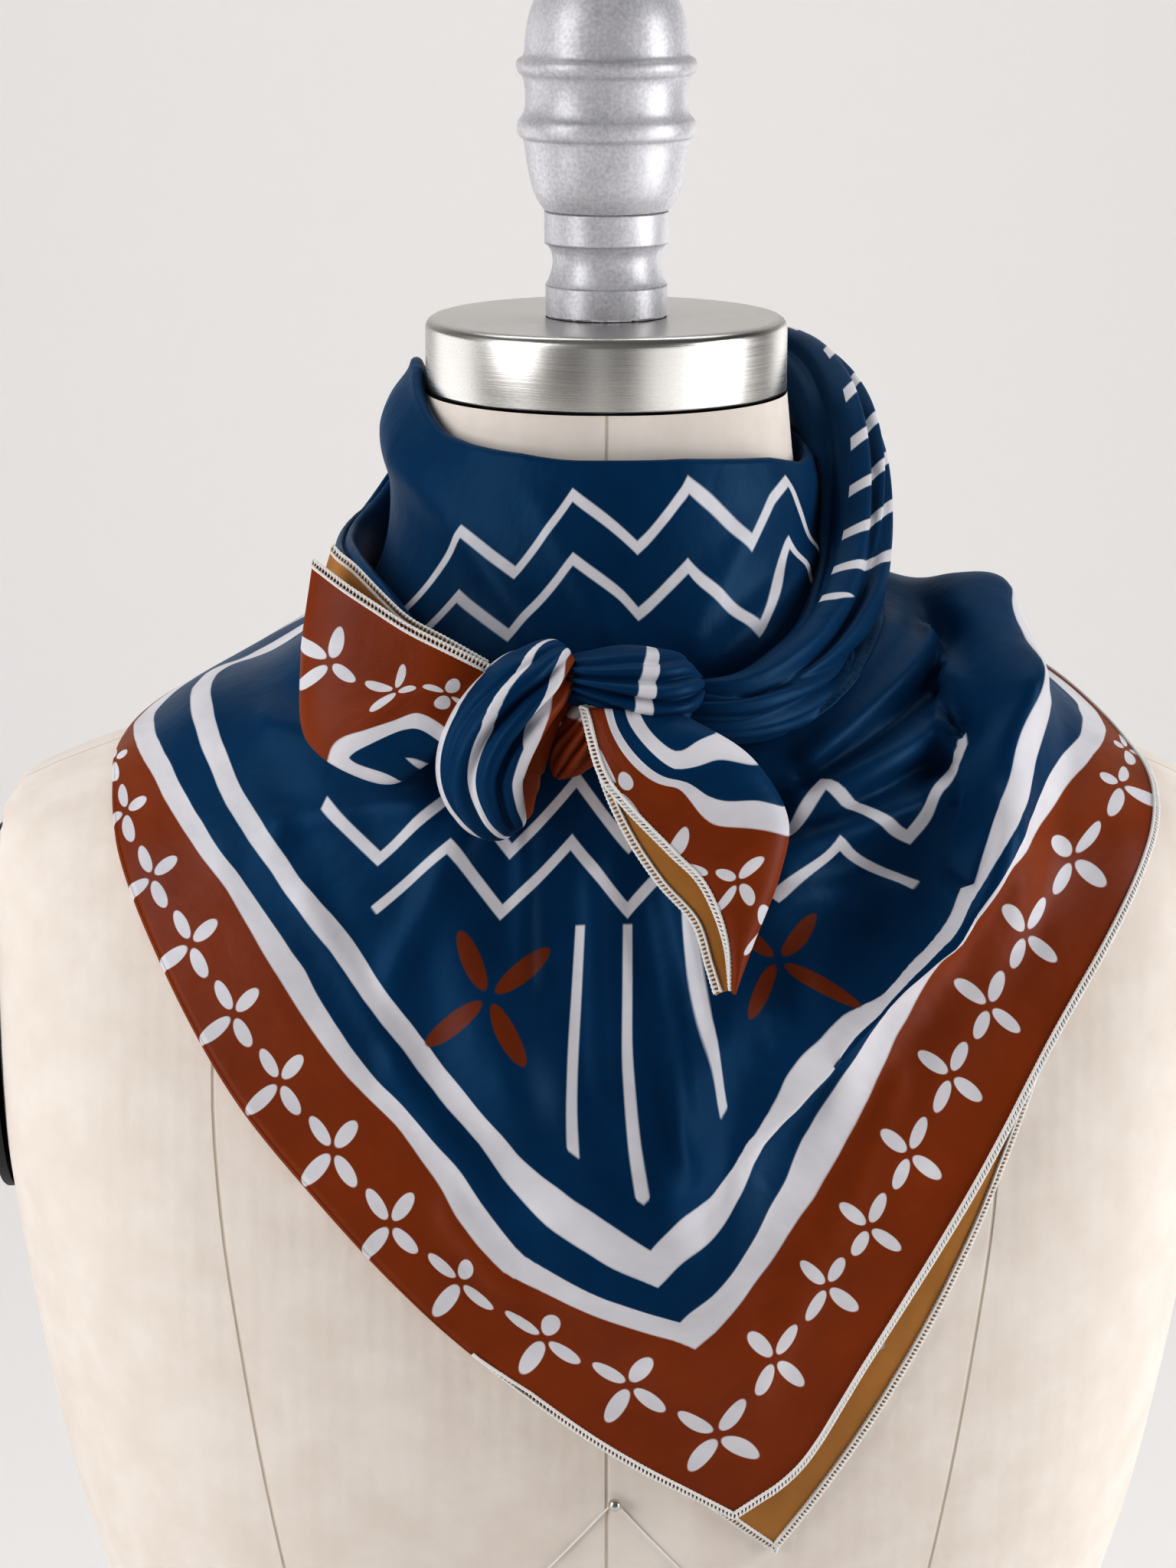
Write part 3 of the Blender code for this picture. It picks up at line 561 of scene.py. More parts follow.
# Front of the scarf: the triangle of printed silk that hangs over the chest and stands round the neck. It
# is twill of 0.2 mm, so it falls in soft rounded folds. Its long edge is turned in at the neck, and its left
# side is turned under along the shoulder.
PANEL_SECTIONS = [
    # turn, edge z, hem x, hem y, hem z, lift of the middle
    (-170, 626, -14, 76, 612, 0),
    (-161, 633, -31, 79, 605, 0),
    (-148, 639, -58, 82, 593, 0),
    (-132, 642, -96, 72, 574, -3),
    (-116, 655, -124, 48, 561, -7),
    (-100, 664, -141, 20, 556, -10),
    (-86, 662, -149, -12, 552, -9),
    (-70, 658, -149, -45, 545, -6),
    (-55, 654, -140, -78, 518, -2),
    (-40, 651, -115, -106, 475, 0),
    (-26, 648.5, -88, -121, 443, 0),
    (-12, 647, -48, -132, 402, 0),
    (0, 647, -3, -134, 366, 0),
    (10, 647, 37.5, -132, 342, 0),
    (16, 647, 57, -130.5, 357, 0),
    (22, 647, 75, -129, 387, 0),
    (36, 646.5, 107, -119, 438, 0),
    (52, 646, 131, -101, 478, 0),
    (68, 645, 152, -80, 508, 4),
    (84, 645, 165, -56, 529, 8),
    (98, 646, 167, -24, 542, 14),
    (112, 644, 157, 14, 553, 10),
    (128, 640, 136, 46, 565, 5),
    (145, 637, 90, 76, 582, 1),
    (161, 633, 32, 79, 605, 0),
    (170, 626, 14, 76, 612, 0),
]
CORNER_SECTION = 13       # the row of PANEL_SECTIONS at the corner of the square
LIFT_SHARES = (0.8, 1.0, 0.2)     # of the lift, a quarter, half and three quarters of the way to the hem
EDGE_RADIUS = 64.0        # of the rolled edge at the neck
THROAT_RADIUS = 67.5      # where the neck part turns out over the shoulders
THROAT_DROP = 40.0        # of the throat below the edge, at the front
PANEL_CLEAR = 3.6         # form to the middle of the cloth
PANEL_STEPS = 3           # columns of mesh for each row of PANEL_SECTIONS
PANEL_ROWS = 18
PANEL_FOLDS = [
    # x start, z start, x end, z end, half width, height
    (110, 600, 117, 560, 12, 16),      # the wing that stands over the shoulder
    (117, 560, 111, 528, 13, 13),
    (112, 528, 62, 482, 11, 9),        # lip of the cowl over the stripes
    (62, 482, 32, 452, 10, 5),
    (99, 600, 96, 545, 9, -4),         # the shade inside the wing
    (96, 560, 30, 520, 12, 8),         # cowl folds that run to the knot
    (88, 582, 34, 548, 9, 6),
    (-52, 548, -28, 470, 12, 5),       # falls from the knot to the tip
    (-28, 470, 2, 404, 12, 4),
    (52, 520, 34, 440, 12, 5),
    (34, 440, 34, 380, 12, 3),
    (4, 520, 12, 440, 13, -3),
    (-118, 566, -60, 540, 12, 4),      # drag lines from the left shoulder
    (-112, 540, -66, 520, 10, 3),
]
FOLD_REACH = 20.0         # the folds die out in front of this y
FOLD_FADE = 25.0          # over this length
FINE_DEPTH = 1.35         # times the heights of FINE_FOLDS
FINE_FOLDS = [
    # the same, for creases that only the fine mesh can show
    (60, 560, 104, 588, 4, 3),         # creases that run from the knot into the right roll
    (56, 548, 104, 566, 4, 3.2),
    (50, 536, 98, 546, 4.5, 3),
    (44, 524, 84, 522, 4.5, 2.6),
    (58, 554, 104, 577, 3, -2.2),
    (52, 542, 100, 556, 3, -2.2),
    (20, 536, 30, 490, 4, 2),          # falls under the knot
    (-4, 530, -2, 470, 4, 1.6),
    (8, 520, 22, 450, 3.5, -1.6),
    (-24, 540, -24, 500, 4, 2),
    (-40, 545, -62, 500, 5, 1.8),
    (-45, 560, -100, 565, 5, 2),       # drag lines from the knot to the left shoulder
    (-40, 552, -96, 540, 4, 1.6),
    (-48, 575, -78, 590, 4, 1.8),
    (-20, 596, -58, 640, 5, 1.2),      # soft creases in the neck part
    (0, 598, -24, 640, 4, 0.8),
    (24, 596, 52, 636, 5, 1.2),
    (30, 588, 62, 612, 4, 1.4),
    (-88, 520, -60, 476, 4, 1.2),      # waves of the borders
    (-62, 476, -34, 440, 4, 1.4),
    (-46, 436, -30, 414, 4, 1.5),
    (84, 470, 66, 430, 4, 1),
    (60, 420, 44, 384, 5, 1.2),
]
LIP = [
    # x, z, height and lean of the fold that hangs over the stripes on the right
    (121, 545, 0.5, 1),
    (113, 536, 2, 4),
    (104, 525, 4, 7),
    (95, 515, 6, 10),
    (81, 503, 6, 10),
    (67, 489, 5, 8),
    (50, 470, 3.5, 5),
    (36, 456, 2, 2),
    (28, 446, 0.5, 1),
]
LIP_WIDTH = 6.5
EDGE_SETTLES = [
    # turn, how far the neck edge sinks, leans in and bulges below
    (-120, 0, 0, 0),
    (-88, 0, 4.6, 3.5),
    (-70, 3, 3.4, 3.5),
    (-53, 5.8, 1.5, 2),
    (-40, 5.2, 0, 0.5),
    (-24, 3.7, 0, 0),
    (0, 3.8, 0, 0),
    (22, 4, 0, 0),
    (35, 4.6, 0, 0),
    (51, 5.6, 0, 0),
    (72, 9, 0.5, 0),
    (90, 9, 0, 0),
    (110, 4, 0, 0),
    (130, 0, 0, 0),
]
SINK_DEPTH = 45.0         # how far below the edge the cloth still sinks
LEAN_DEPTH = 6.0
BULGE_BELOW = 17.0        # middle of the bulge below the edge
BULGE_HALF = 10.0
FLATTEN_ROUNDS = 2500
FLATTEN_PUSH = 1.6        # share of each correction that a round makes
FINE_ROWS = 7             # rows and columns of fine mesh for one of the coarse mesh
FINE_COLUMNS = 5
SILK = 0.5                # thickness drawn; the real 0.2 mm would show no edge
ROLL_RADIUS = 1.7         # of the turned-in edge at the neck
TURNED_IN = 24.0          # depth of the turned-in layer that shows from above
TUCK_COLUMN = 172         # the fine column where the turned edge ends and the stitched hem shows

# The print: a rust border with a chain of four-petal flowers, two white stripes, and a navy field with
# larger flowers, zigzags, bars and, on the rolls, short bands.
BORDER = 46.0             # width of the rust border
STRIPE = 8.5              # of each white stripe
STRIPE_GAP = 11.0
FLOWER_PITCH = 27.0
FLOWER_CENTRE = 24.0      # from the hem
MARKS = (FLOWER_CENTRE, BORDER, BORDER + STRIPE, BORDER + STRIPE + STRIPE_GAP,
         BORDER + 2 * STRIPE + STRIPE_GAP)      # the flowers and the sides of the stripes, from the hem
LEFT_MARKS = [
    # place along the draped left side from the corner, how far in from that side each of MARKS lies there,
    # how much further along the print is
    (23, 20, 36, 44, 50, 57, 1),
    (50, 20.6, 39.5, 46, 51, 58, -1),
    (81, 17.2, 30, 36, 45, 55, -3),
    (102, 15, 21.8, 30, 41.2, 53, -6),
    (123, 12, 24.7, 33, 42.3, 50.5, -6.5),
    (138, 10.3, 27.7, 35.6, 44, 49.8, -5.6),
    (157, 11.7, 30.3, 34.5, 43.9, 50, -6),
    (172, 12.3, 28.7, 33.5, 45.2, 50.6, -6.5),
    (199, 12.4, 27.7, 34, 45, 51.3, -5),
    (217, 11.6, 27.7, 35, 44, 51, -3.6),
    (250, 9.5, 26.3, 31.5, 40, 45.5, -2),
    (276, 6, 21, 27, 36, 42, 1),
    (306, 2, 13, 20.5, 32, 38.5, 1),
    (320, 0, 8, 16, 30, 37, 1),
    (348, -4, 1, 9.8, 24, 32, 1),
]
RIGHT_MARKS = [
    # the same for the right side
    (23, 23.1, 46, 52, 61, 67, 1),
    (50, 27.9, 46, 53, 62, 68.5, 1),
    (78, 25.7, 45.5, 55, 66, 73, 0),
    (98, 24.4, 44.3, 56.5, 71, 76.5, 6.7),
    (123, 25.3, 44.5, 59, 71.2, 76.5, 9.4),
    (148, 25.9, 47.8, 61, 69, 73, 10.5),
    (160, 25.5, 49, 61.5, 65.5, 67.5, 12.5),
    (171, 25, 50.5, 61, 63, 65, 14.8),
    (187, 25.2, 50.5, 57, 58.5, 60, 16.5),
    (196, 25.3, 49.5, 54.5, 55.5, 60, 17.4),
    (207, 24, 46, 51, 52.5, 59, 16.5),
    (225, 21.8, 37.5, 45.5, 47.5, 57.5, 14.6),
    (240, 17, 30.3, 38, 44, 56, 10),
    (266, 11.1, 20.5, 27, 41, 58, 1.3),
    (279, 8, 16.2, 22, 38.5, 60, 1),
    (305, 3, 6, 15, 34, 58, 1),
    (321, 0, 2.7, 10, 30, 52, 1),
]
PETALS = [
    # turn from the hem in degrees, half length, half width, distance of the middle from the centre
    (6, 5.2, 2.3, 7.0),
    (80, 5.8, 2.4, 7.4),
]
FIELD_PETALS = [
    # the same for the flowers of the field
    (10, 10.5, 3.0, 13.0),
    (98, 10.5, 3.2, 13.0),
]
FIELD_FLOWER_ROW = (97.0, 162.0, 420.0)     # distance from the hem, place of the first, pitch
ZIGZAGS = [
    # distance from the corner on the diagonal, height, pitch, width of the line, half the row's length
    (322.0, 18.0, 58.0, 3.4, 116.0),
    (303.0, 18.0, 58.0, 3.4, 116.0),
    (236.0, 20.0, 46.0, 3.6, 115.0),
    (218.0, 20.0, 46.0, 3.6, 115.0),
]
BARS = (161.0, 86.0, 17.0, 3.4)   # distance of their middle on the diagonal, length, pitch, width
BARS_HALF_ROW = 20.0
DRAWING_ENDS = 84.0       # distance from the hem
BANDS = (400.0, 46.0, 18.0, 4.6)  # distance of their middle from the hem, length, pitch, width
LINE_SOFT = 0.35          # half the soft edge of a drawn line
FACE_COLOURS = {"field": "#0c3d60", "border": "#8a4217", "line": "#dcdade", "flower": "#7a3a16"}
# On the reverse the inks that soaked through are paler and yellower.
REVERSE_COLOURS = {"field": "#2b4a66", "border": "#b9864a", "line": "#b2aeab", "flower": "#7d5427"}


def inside(tree, value, limit, soft):
    """1 where the value is under the limit, with a narrow soft edge."""
    return add_node(tree, "MapRange", {"Value": value, "From Min": limit + soft, "From Max": limit - soft})


def printed_silk(name, colours):
    """Silk twill, screen-printed: flat inks with soft edges under a low, broad and slightly blue gloss. Its
    ribs are drawn 1 mm apart where the real ones are 0.3 mm, so that they show."""
    made, tree, shader = new_material(name)
    shader.inputs["Roughness"].default_value = 0.46
    shader.inputs["Specular IOR Level"].default_value = 0.3
    shader.inputs["Specular Tint"].default_value = linear("#8fbfe8")
    shader.inputs["Sheen Weight"].default_value = 0.05
    shader.inputs["Sheen Roughness"].default_value = 0.35
    cloth = add_node(tree, "UVMap", uv_map="cloth")
    spot = add_node(tree, "VectorMath", {0: cloth, "Scale": 1000.0}, operation="SCALE")
    drift = add_node(tree, "TexNoise", {"Vector": spot, "Scale": 0.03, "Detail": 2.0})
    wobble = add_node(tree, "MapRange", {"Value": drift, "To Min": -1.6, "To Max": 1.6})
    split = add_node(tree, "SeparateXYZ", {"Vector": spot})
    hem = add_node(tree, "Math", {0: split.outputs["X"], 1: split.outputs["Y"]}, operation="MINIMUM")
    along = add_node(tree, "Math", {0: split.outputs["X"], 1: split.outputs["Y"]}, operation="MAXIMUM")
    drawn = add_node(tree, "Math", {0: hem, 1: wobble}, operation="ADD")

    scale = 100.0
    share = add_node(tree, "Math", {0: drawn, 1: scale}, operation="DIVIDE")
    inks = add_node(tree, "ValToRGB", {"Fac": share})
    edge = BORDER
    stops = [("border", edge), ("line", edge + STRIPE), ("field", edge + STRIPE + STRIPE_GAP),
             ("line", edge + 2 * STRIPE + STRIPE_GAP), ("field", scale)]
    ramp = inks.color_ramp.elements
    ramp[0].color = linear(colours["border"])
    ramp[1].position = 1.0
    ramp[1].color = linear(colours["field"])
    for (ink, end), (following, _) in zip(stops, stops[1:]):
        ramp.new((end - 0.2) / scale).color = linear(colours[ink])
        ramp.new((end + 0.2) / scale).color = linear(colours[following])

    cover = inks.outputs["Color"]
    flowers = [("line", PETALS, FLOWER_CENTRE, FLOWER_CENTRE, FLOWER_PITCH)]
    flowers.append(("flower", FIELD_PETALS, *FIELD_FLOWER_ROW))
    for ink, petals, centre, first, pitch in flowers:
        past = add_node(tree, "Math", {0: along, 1: first - pitch / 2}, operation="SUBTRACT")
        repeat = add_node(tree, "Math", {0: past, 1: pitch}, operation="FLOORED_MODULO")
        u = add_node(tree, "Math", {0: repeat, 1: pitch / 2}, operation="SUBTRACT")
        v = add_node(tree, "Math", {0: hem, 1: centre}, operation="SUBTRACT")
        flower = add_node(tree, "CombineXYZ", {"X": u, "Y": v})
        for turn, length, width, distance in petals:
            turned_to = add_node(tree, "VectorRotate", {"Vector": flower, "Angle": math.radians(-turn)},
                                 rotation_type="Z_AXIS")
            folded = add_node(tree, "VectorMath", {0: turned_to}, operation="ABSOLUTE")
            moved = add_node(tree, "VectorMath", {0: folded, 1: (distance, 0, 0)}, operation="SUBTRACT")
            shaped = add_node(tree, "VectorMath", {0: moved, 1: (1 / length, 1 / width, 0)},
                              operation="MULTIPLY")
            reach = add_node(tree, "VectorMath", {0: shaped}, operation="LENGTH")
            petal = inside(tree, reach.outputs["Value"], 1.0, 0.05)
            blend = add_node(tree, "Mix", {"Factor": petal, "A": cover, "B": linear(colours[ink])},
                             data_type="RGBA")
            cover = blend.outputs["Result"]

    diagonal = add_node(tree, "VectorRotate", {"Vector": spot, "Angle": math.radians(-45)},
                        rotation_type="Z_AXIS")
    diagonal = add_node(tree, "SeparateXYZ", {"Vector": diagonal})
    out, across = diagonal.outputs["X"], diagonal.outputs["Y"]
    away = add_node(tree, "Math", {0: across}, operation="ABSOLUTE")
    lines = []
    for distance, height, pitch, width, half_row in ZIGZAGS:
        wave = add_node(tree, "Math", {0: across, 1: pitch / 2}, operation="PINGPONG")
        crest = add_node(tree, "Math", {0: wave, 1: 2 * height / pitch, 2: distance - height / 2},
                         operation="MULTIPLY_ADD")
        off = add_node(tree, "Math", {0: out, 1: crest}, operation="SUBTRACT")
        off = add_node(tree, "Math", {0: off}, operation="ABSOLUTE")
        line = inside(tree, off, width / 2 * math.hypot(1, 2 * height / pitch), LINE_SOFT)
        row_end = inside(tree, away, half_row, LINE_SOFT)
        lines.append(add_node(tree, "Math", {0: line, 1: row_end}, operation="MULTIPLY"))
    for (distance, length, pitch, width), up, run in ((BARS, out, across), (BANDS, hem, along)):
        wave = add_node(tree, "Math", {0: run, 1: pitch / 2}, operation="PINGPONG")
        off = add_node(tree, "Math", {0: up, 1: distance}, operation="SUBTRACT")
        off = add_node(tree, "Math", {0: off}, operation="ABSOLUTE")
        stroke = inside(tree, wave, width / 2, 0.3)
        stroke_end = inside(tree, off, length / 2, LINE_SOFT)
        lines.append(add_node(tree, "Math", {0: stroke_end, 1: stroke}, operation="MULTIPLY"))
    row_end = inside(tree, away, BARS_HALF_ROW, LINE_SOFT)
    lines[-2] = add_node(tree, "Math", {0: lines[-2], 1: row_end}, operation="MULTIPLY")
    drawing = lines[0]
    for line in lines[1:]:
        drawing = add_node(tree, "Math", {0: drawing, 1: line}, operation="MAXIMUM")
    outside = inside(tree, hem, DRAWING_ENDS, 0.4)
    drawing = add_node(tree, "Math", {0: drawing, 1: outside}, operation="SUBTRACT", use_clamp=True)
    blend = add_node(tree, "Mix", {"Factor": drawing, "A": cover, "B": linear(colours["line"])},
                     data_type="RGBA")

    cloud = add_node(tree, "TexNoise", {"Vector": spot, "Scale": 0.022, "Detail": 4.0, "Roughness": 0.6})
    shade = add_node(tree, "MapRange", {"Value": cloud, "From Min": 0.3, "From Max": 0.7, "To Min": 0.86,
                                        "To Max": 1.12})
    dyed = add_node(tree, "VectorMath", {0: blend.outputs["Result"], "Scale": shade}, operation="SCALE")
    tree.links.new(dyed.outputs["Vector"], shader.inputs["Base Color"])

    twill = add_node(tree, "TexWave", {"Vector": spot, "Scale": 0.45, "Distortion": 1.5, "Detail": 2.0},
                     bands_direction="DIAGONAL")
    crumple = add_node(tree, "TexNoise", {"Vector": spot, "Scale": 0.06, "Detail": 3.0})
    soft = add_node(tree, "Bump", {"Height": crumple, "Strength": 0.5, "Distance": 0.0012})
    fine = add_node(tree, "Bump", {"Height": twill.outputs["Fac"], "Strength": 0.08, "Distance": 0.0001,
                                   "Normal": soft})
    tree.links.new(fine.outputs["Normal"], shader.inputs["Normal"])
    return made


silk_face = printed_silk("printed silk twill, face", FACE_COLOURS)
silk_reverse = printed_silk("printed silk twill, reverse", REVERSE_COLOURS)


def polar(turn, radius, z):
    """A point round the neck: turn is in degrees from the front, positive to the viewer's right."""
    return (radius * math.sin(math.radians(turn)), -radius * math.cos(math.radians(turn)), z)


def pushed_clear(tree, point, clearance):
    """The point, or the nearest place to it that keeps the clearance outside the surface."""
    near, normal, _, _ = tree.find_nearest(Vector(point))
    offset = Vector(point) - near
    depth = offset.dot(normal)
    beside = offset.length >= clearance and abs(depth) < 0.5 * offset.length
    if beside or (depth > 0 and offset.length >= clearance):
        return list(point)
    return list(near + normal * clearance)


def fold_height(points, folds):
    """Heights of the folds at an array of points, from their places in the front view."""
    total = np.zeros(points.shape[:-1])
    for x0, z0, x1, z1, width, height in folds:
        run = np.array([x1 - x0, z1 - z0], float)
        offset = points[..., [0, 2]] - np.array([x0, z0])
        along = np.clip(offset @ run / (run @ run), 0, 1)
        distance = np.linalg.norm(offset - along[..., None] * run, axis=-1)
        total += height * np.exp(-(distance / width) ** 2)
    return total * np.clip((FOLD_REACH - points[..., 1]) / FOLD_FADE, 0, 1)


def grid_normals(grid):
    """Unit normals of a sheet, pointing away from the neck's axis."""
    normals = np.cross(np.gradient(grid, axis=0), np.gradient(grid, axis=1))
    normals /= np.linalg.norm(normals, axis=2, keepdims=True)
    flip = np.sign((normals * grid * np.array([1, 1, 0])).sum(axis=2, keepdims=True))
    return normals * np.where(flip == 0, 1, flip)


def all_clear(grid, tree, clearance):
    """Every point of a grid, pushed clear."""
    return np.array([[pushed_clear(tree, p, clearance) for p in row] for row in grid])


def panel_grid():
    """The sheet's middle surface: each column runs from the rolled edge at the neck to the hem."""
    columns = []
    for i in range((len(PANEL_SECTIONS) - 1) * PANEL_STEPS + 1):
        t = i / PANEL_STEPS
        if t <= CORNER_SECTION:
            section = smooth_row(PANEL_SECTIONS[:CORNER_SECTION + 1], t)
        else:
            section = smooth_row(PANEL_SECTIONS[CORNER_SECTION:], t - CORNER_SECTION)
        turn, edge_z, lift = section[0], section[1], section[5]
        front = max(math.cos(math.radians(turn)), 0.0)
        throat_z = min(edge_z, 650.0) - THROAT_DROP - 3 * (1 - front)
        throat = np.array(polar(turn, THROAT_RADIUS + 7 * front, throat_z))
        controls = [polar(turn, EDGE_RADIUS, edge_z), polar(turn, EDGE_RADIUS + 2.5, edge_z - 8), throat]
        for share, raised in zip((0.25, 0.5, 0.75), LIFT_SHARES):
            controls.append(throat + (section[2:5] - throat) * share + np.array([0, 0, lift * raised]))
        controls.append(section[2:5])
        rows = np.interp(np.linspace(0.0, 6.0, PANEL_ROWS), [0.0, 0.35, 1.7, 3.0, 4.0, 5.0, 6.0], range(7))
        columns.append([smooth_row(controls, r) for r in rows])
    grid = np.array(columns).transpose(1, 0, 2)
    for _ in range(3):
        inner = grid[:-2, 1:-1] + grid[2:, 1:-1] + grid[1:-1, :-2] + grid[1:-1, 2:]
        relaxed = grid.copy()
        relaxed[1:-1, 1:-1] = 0.5 * grid[1:-1, 1:-1] + 0.125 * inner
        grid = all_clear(relaxed, form_tree, PANEL_CLEAR)
    share = np.minimum(np.arange(PANEL_ROWS) / 3.0, 1.0)[:, None, None]
    raised = grid + grid_normals(grid) * fold_height(grid, PANEL_FOLDS)[..., None] * share
    raised[1:] = all_clear(raised[1:], form_tree, PANEL_CLEAR)
    return raised


def flattened(grid, corner):
    """Flat places of the cloth: lengths between neighbours stay as draped, and both sides run straight."""
    rows, columns = grid.shape[:2]
    hem = grid[-1]
    run = np.concatenate([[0], np.cumsum(np.linalg.norm(np.diff(hem, axis=0), axis=1))])
    run -= run[corner]
    flat = np.zeros((rows, columns, 2))
    down = np.linalg.norm(np.diff(grid, axis=0), axis=2)
    rise = np.concatenate([np.cumsum(down[::-1], axis=0)[::-1], np.zeros((1, columns))])
    flat[..., 0] = np.maximum(-run, 0) + rise * math.sqrt(0.5)
    flat[..., 1] = np.maximum(run, 0) + rise * math.sqrt(0.5)
    pinned = flat[-1].copy()
    links = []
    for di, dk in ((1, 0), (0, 1), (1, 1), (1, -1)):
        a = (slice(0, rows - di), slice(max(-dk, 0), columns - max(dk, 0)))
        b = (slice(di, rows), slice(max(dk, 0), columns + min(dk, 0)))
        links.append((a, b, np.linalg.norm(grid[b] - grid[a], axis=2)))
    for _ in range(FLATTEN_ROUNDS):
        move = np.zeros_like(flat)
        count = np.zeros((rows, columns, 1))
        for a, b, wanted in links:
            gap = flat[b] - flat[a]
            long = np.maximum(np.linalg.norm(gap, axis=2), 1e-6)
            pull = gap * (0.5 * (1 - wanted / long))[..., None]
            move[a] += pull
            move[b] -= pull
            count[a] += 1
            count[b] += 1
        flat += move / count * FLATTEN_PUSH
        flat[-1] = pinned
    return flat


def refined(grid, steps, axis):
    """A grid with steps times as many intervals along an axis, on Catmull-Rom curves through its points."""
    grid = np.moveaxis(grid, axis, 0)
    ends = np.concatenate([2 * grid[:1] - grid[1:2], grid, 2 * grid[-1:] - grid[-2:-1]])
    p0, p1, p2, p3 = ends[:-3], ends[1:-2], ends[2:-1], ends[3:]
    parts = [0.5 * (2 * p1 + (p2 - p0) * f + (2 * p0 - 5 * p1 + 4 * p2 - p3) * f ** 2
                    + (p3 - p0 + 3 * (p1 - p2)) * f ** 3) for f in np.arange(steps) / steps]
    fine = np.stack(parts, axis=1).reshape(-1, *grid.shape[1:])
    return np.moveaxis(np.concatenate([fine, grid[-1:]]), 0, axis)


def refined_sheet(grid, corner):
    """The sheet with finer mesh, and with its sharp corner kept."""
    grid = refined(grid, FINE_ROWS, 0)
    left = refined(grid[:, :corner + 1], FINE_COLUMNS, 1)
    right = refined(grid[:, corner:], FINE_COLUMNS, 1)
    return np.concatenate([left, right[:, 1:]], axis=1)


def lipped(grid):
    """The sheet with the lip: its crest is raised and leans over the cloth below it."""
    lip = np.array(LIP, float)
    flat_view = grid[..., [0, 2]]
    nearest = np.full(grid.shape[:2], 1e9)
    raised = np.zeros_like(grid)
    normals = grid_normals(grid)
    for start, end in zip(lip, lip[1:]):
        run = end[:2] - start[:2]
        along = np.clip(((flat_view - start[:2]) @ run) / (run @ run), 0, 1)
        offset = flat_view - start[:2] - along[..., None] * run
        distance = np.linalg.norm(offset, axis=-1)
        below = offset @ (np.array([-run[1], run[0]]) / np.linalg.norm(run))
        height = start[2] + (end[2] - start[2]) * along
        lean = start[3] + (end[3] - start[3]) * along
        over = np.array([-run[1], 0, run[0]]) / np.linalg.norm(run)
        rise = np.exp(-(distance / LIP_WIDTH) ** 2)
        tip = np.exp(-((distance * np.sign(below) + 1.5) / (LIP_WIDTH * 0.8)) ** 2)
        move = normals * (height * rise)[..., None] + over * (lean * tip)[..., None]
        closer = distance < nearest
        raised = np.where(closer[..., None], move, raised)
        nearest = np.where(closer, distance, nearest)
    front_only = np.clip((FOLD_REACH - grid[..., 1:2]) / FOLD_FADE, 0, 1)
    return grid + raised * front_only


def settled_edge(grid):
    """The sheet with its neck edge sunk, leaning in or bulging as the soft cloth does."""
    table = np.array(EDGE_SETTLES, float)
    turn = np.degrees(np.arctan2(grid[0, :, 0], -grid[0, :, 1]))
    sink, lean, bulge = (np.interp(turn, table[:, 0], table[:, c]) for c in (1, 2, 3))
    down = np.linalg.norm(np.diff(grid, axis=0), axis=2)
    run = np.concatenate([np.zeros((1, grid.shape[1])), np.cumsum(down, axis=0)])
    fall = np.clip(1 - run / SINK_DEPTH, 0, 1) ** 2
    outward = grid * np.array([1, 1, 0])
    outward /= np.linalg.norm(outward, axis=2, keepdims=True)
    out = bulge * np.exp(-((run - BULGE_BELOW) / BULGE_HALF) ** 2) - lean * np.exp(-(run / LEAN_DEPTH) ** 2)
    moved = grid + outward * out[..., None]
    moved[..., 2] -= sink * fall
    return moved


def on_marks(along, inward, marks):
    """Distances from the hem and places along it that the print has at places of the draped sheet."""
    table = np.array(marks, float)
    spots = [np.interp(along, table[:, 0], table[:, 1 + c]) for c in range(len(MARKS))]
    printed = inward - spots[0] + MARKS[0]
    for lower, upper, start, end in zip(spots, spots[1:], MARKS, MARKS[1:]):
        share = np.clip((inward - lower) / (upper - lower), 0, 1)
        printed = np.where(inward > lower, start + (end - start) * share, printed)
    printed = np.where(inward > spots[-1], MARKS[-1] + inward - spots[-1], printed)
    return printed, along + np.interp(along, table[:, 0], table[:, -1])


def with_print(flat):
    """The flat places moved so that the print lies as it does on the real scarf, where small folds take up
    cloth along both sides. The two sides blend along the diagonal, more widely away from the hems."""
    a, b = flat[..., 0], flat[..., 1]
    from_left, on_left = on_marks(a, b, LEFT_MARKS)
    from_right, on_right = on_marks(b, a, RIGHT_MARKS)
    share = np.clip((a - b) / (24.0 + 1.3 * np.clip(np.minimum(a, b) - 95.0, 0, None)) + 0.5, 0, 1)
    share = share ** 2 * (3 - 2 * share)
    moved = np.stack([on_left * share + from_right * (1 - share),
                      from_left * share + on_right * (1 - share)], axis=2)
    shift = moved - flat
    for _ in range(3):
        shift[1:-1, 1:-1] = (shift[1:-1, 1:-1] * 4 + shift[:-2, 1:-1] + shift[2:, 1:-1]
                             + shift[1:-1, :-2] + shift[1:-1, 2:]) / 8
    return flat + shift


def as_cloth(piece, node, face_out=True):
    """Gives a sheet its thickness and its reverse, and puts it in the place of its solid."""
    if face_out:
        piece.data.flip_normals()
    piece.data.materials.append(silk_reverse)
    shell = piece.modifiers.new("silk", "SOLIDIFY")
    shell.thickness = SILK / 1000
    shell.offset = 0.0
    shell.material_offset = 1
    shell.material_offset_rim = 0
    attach(piece, "root")
    if node:
        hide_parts(node)


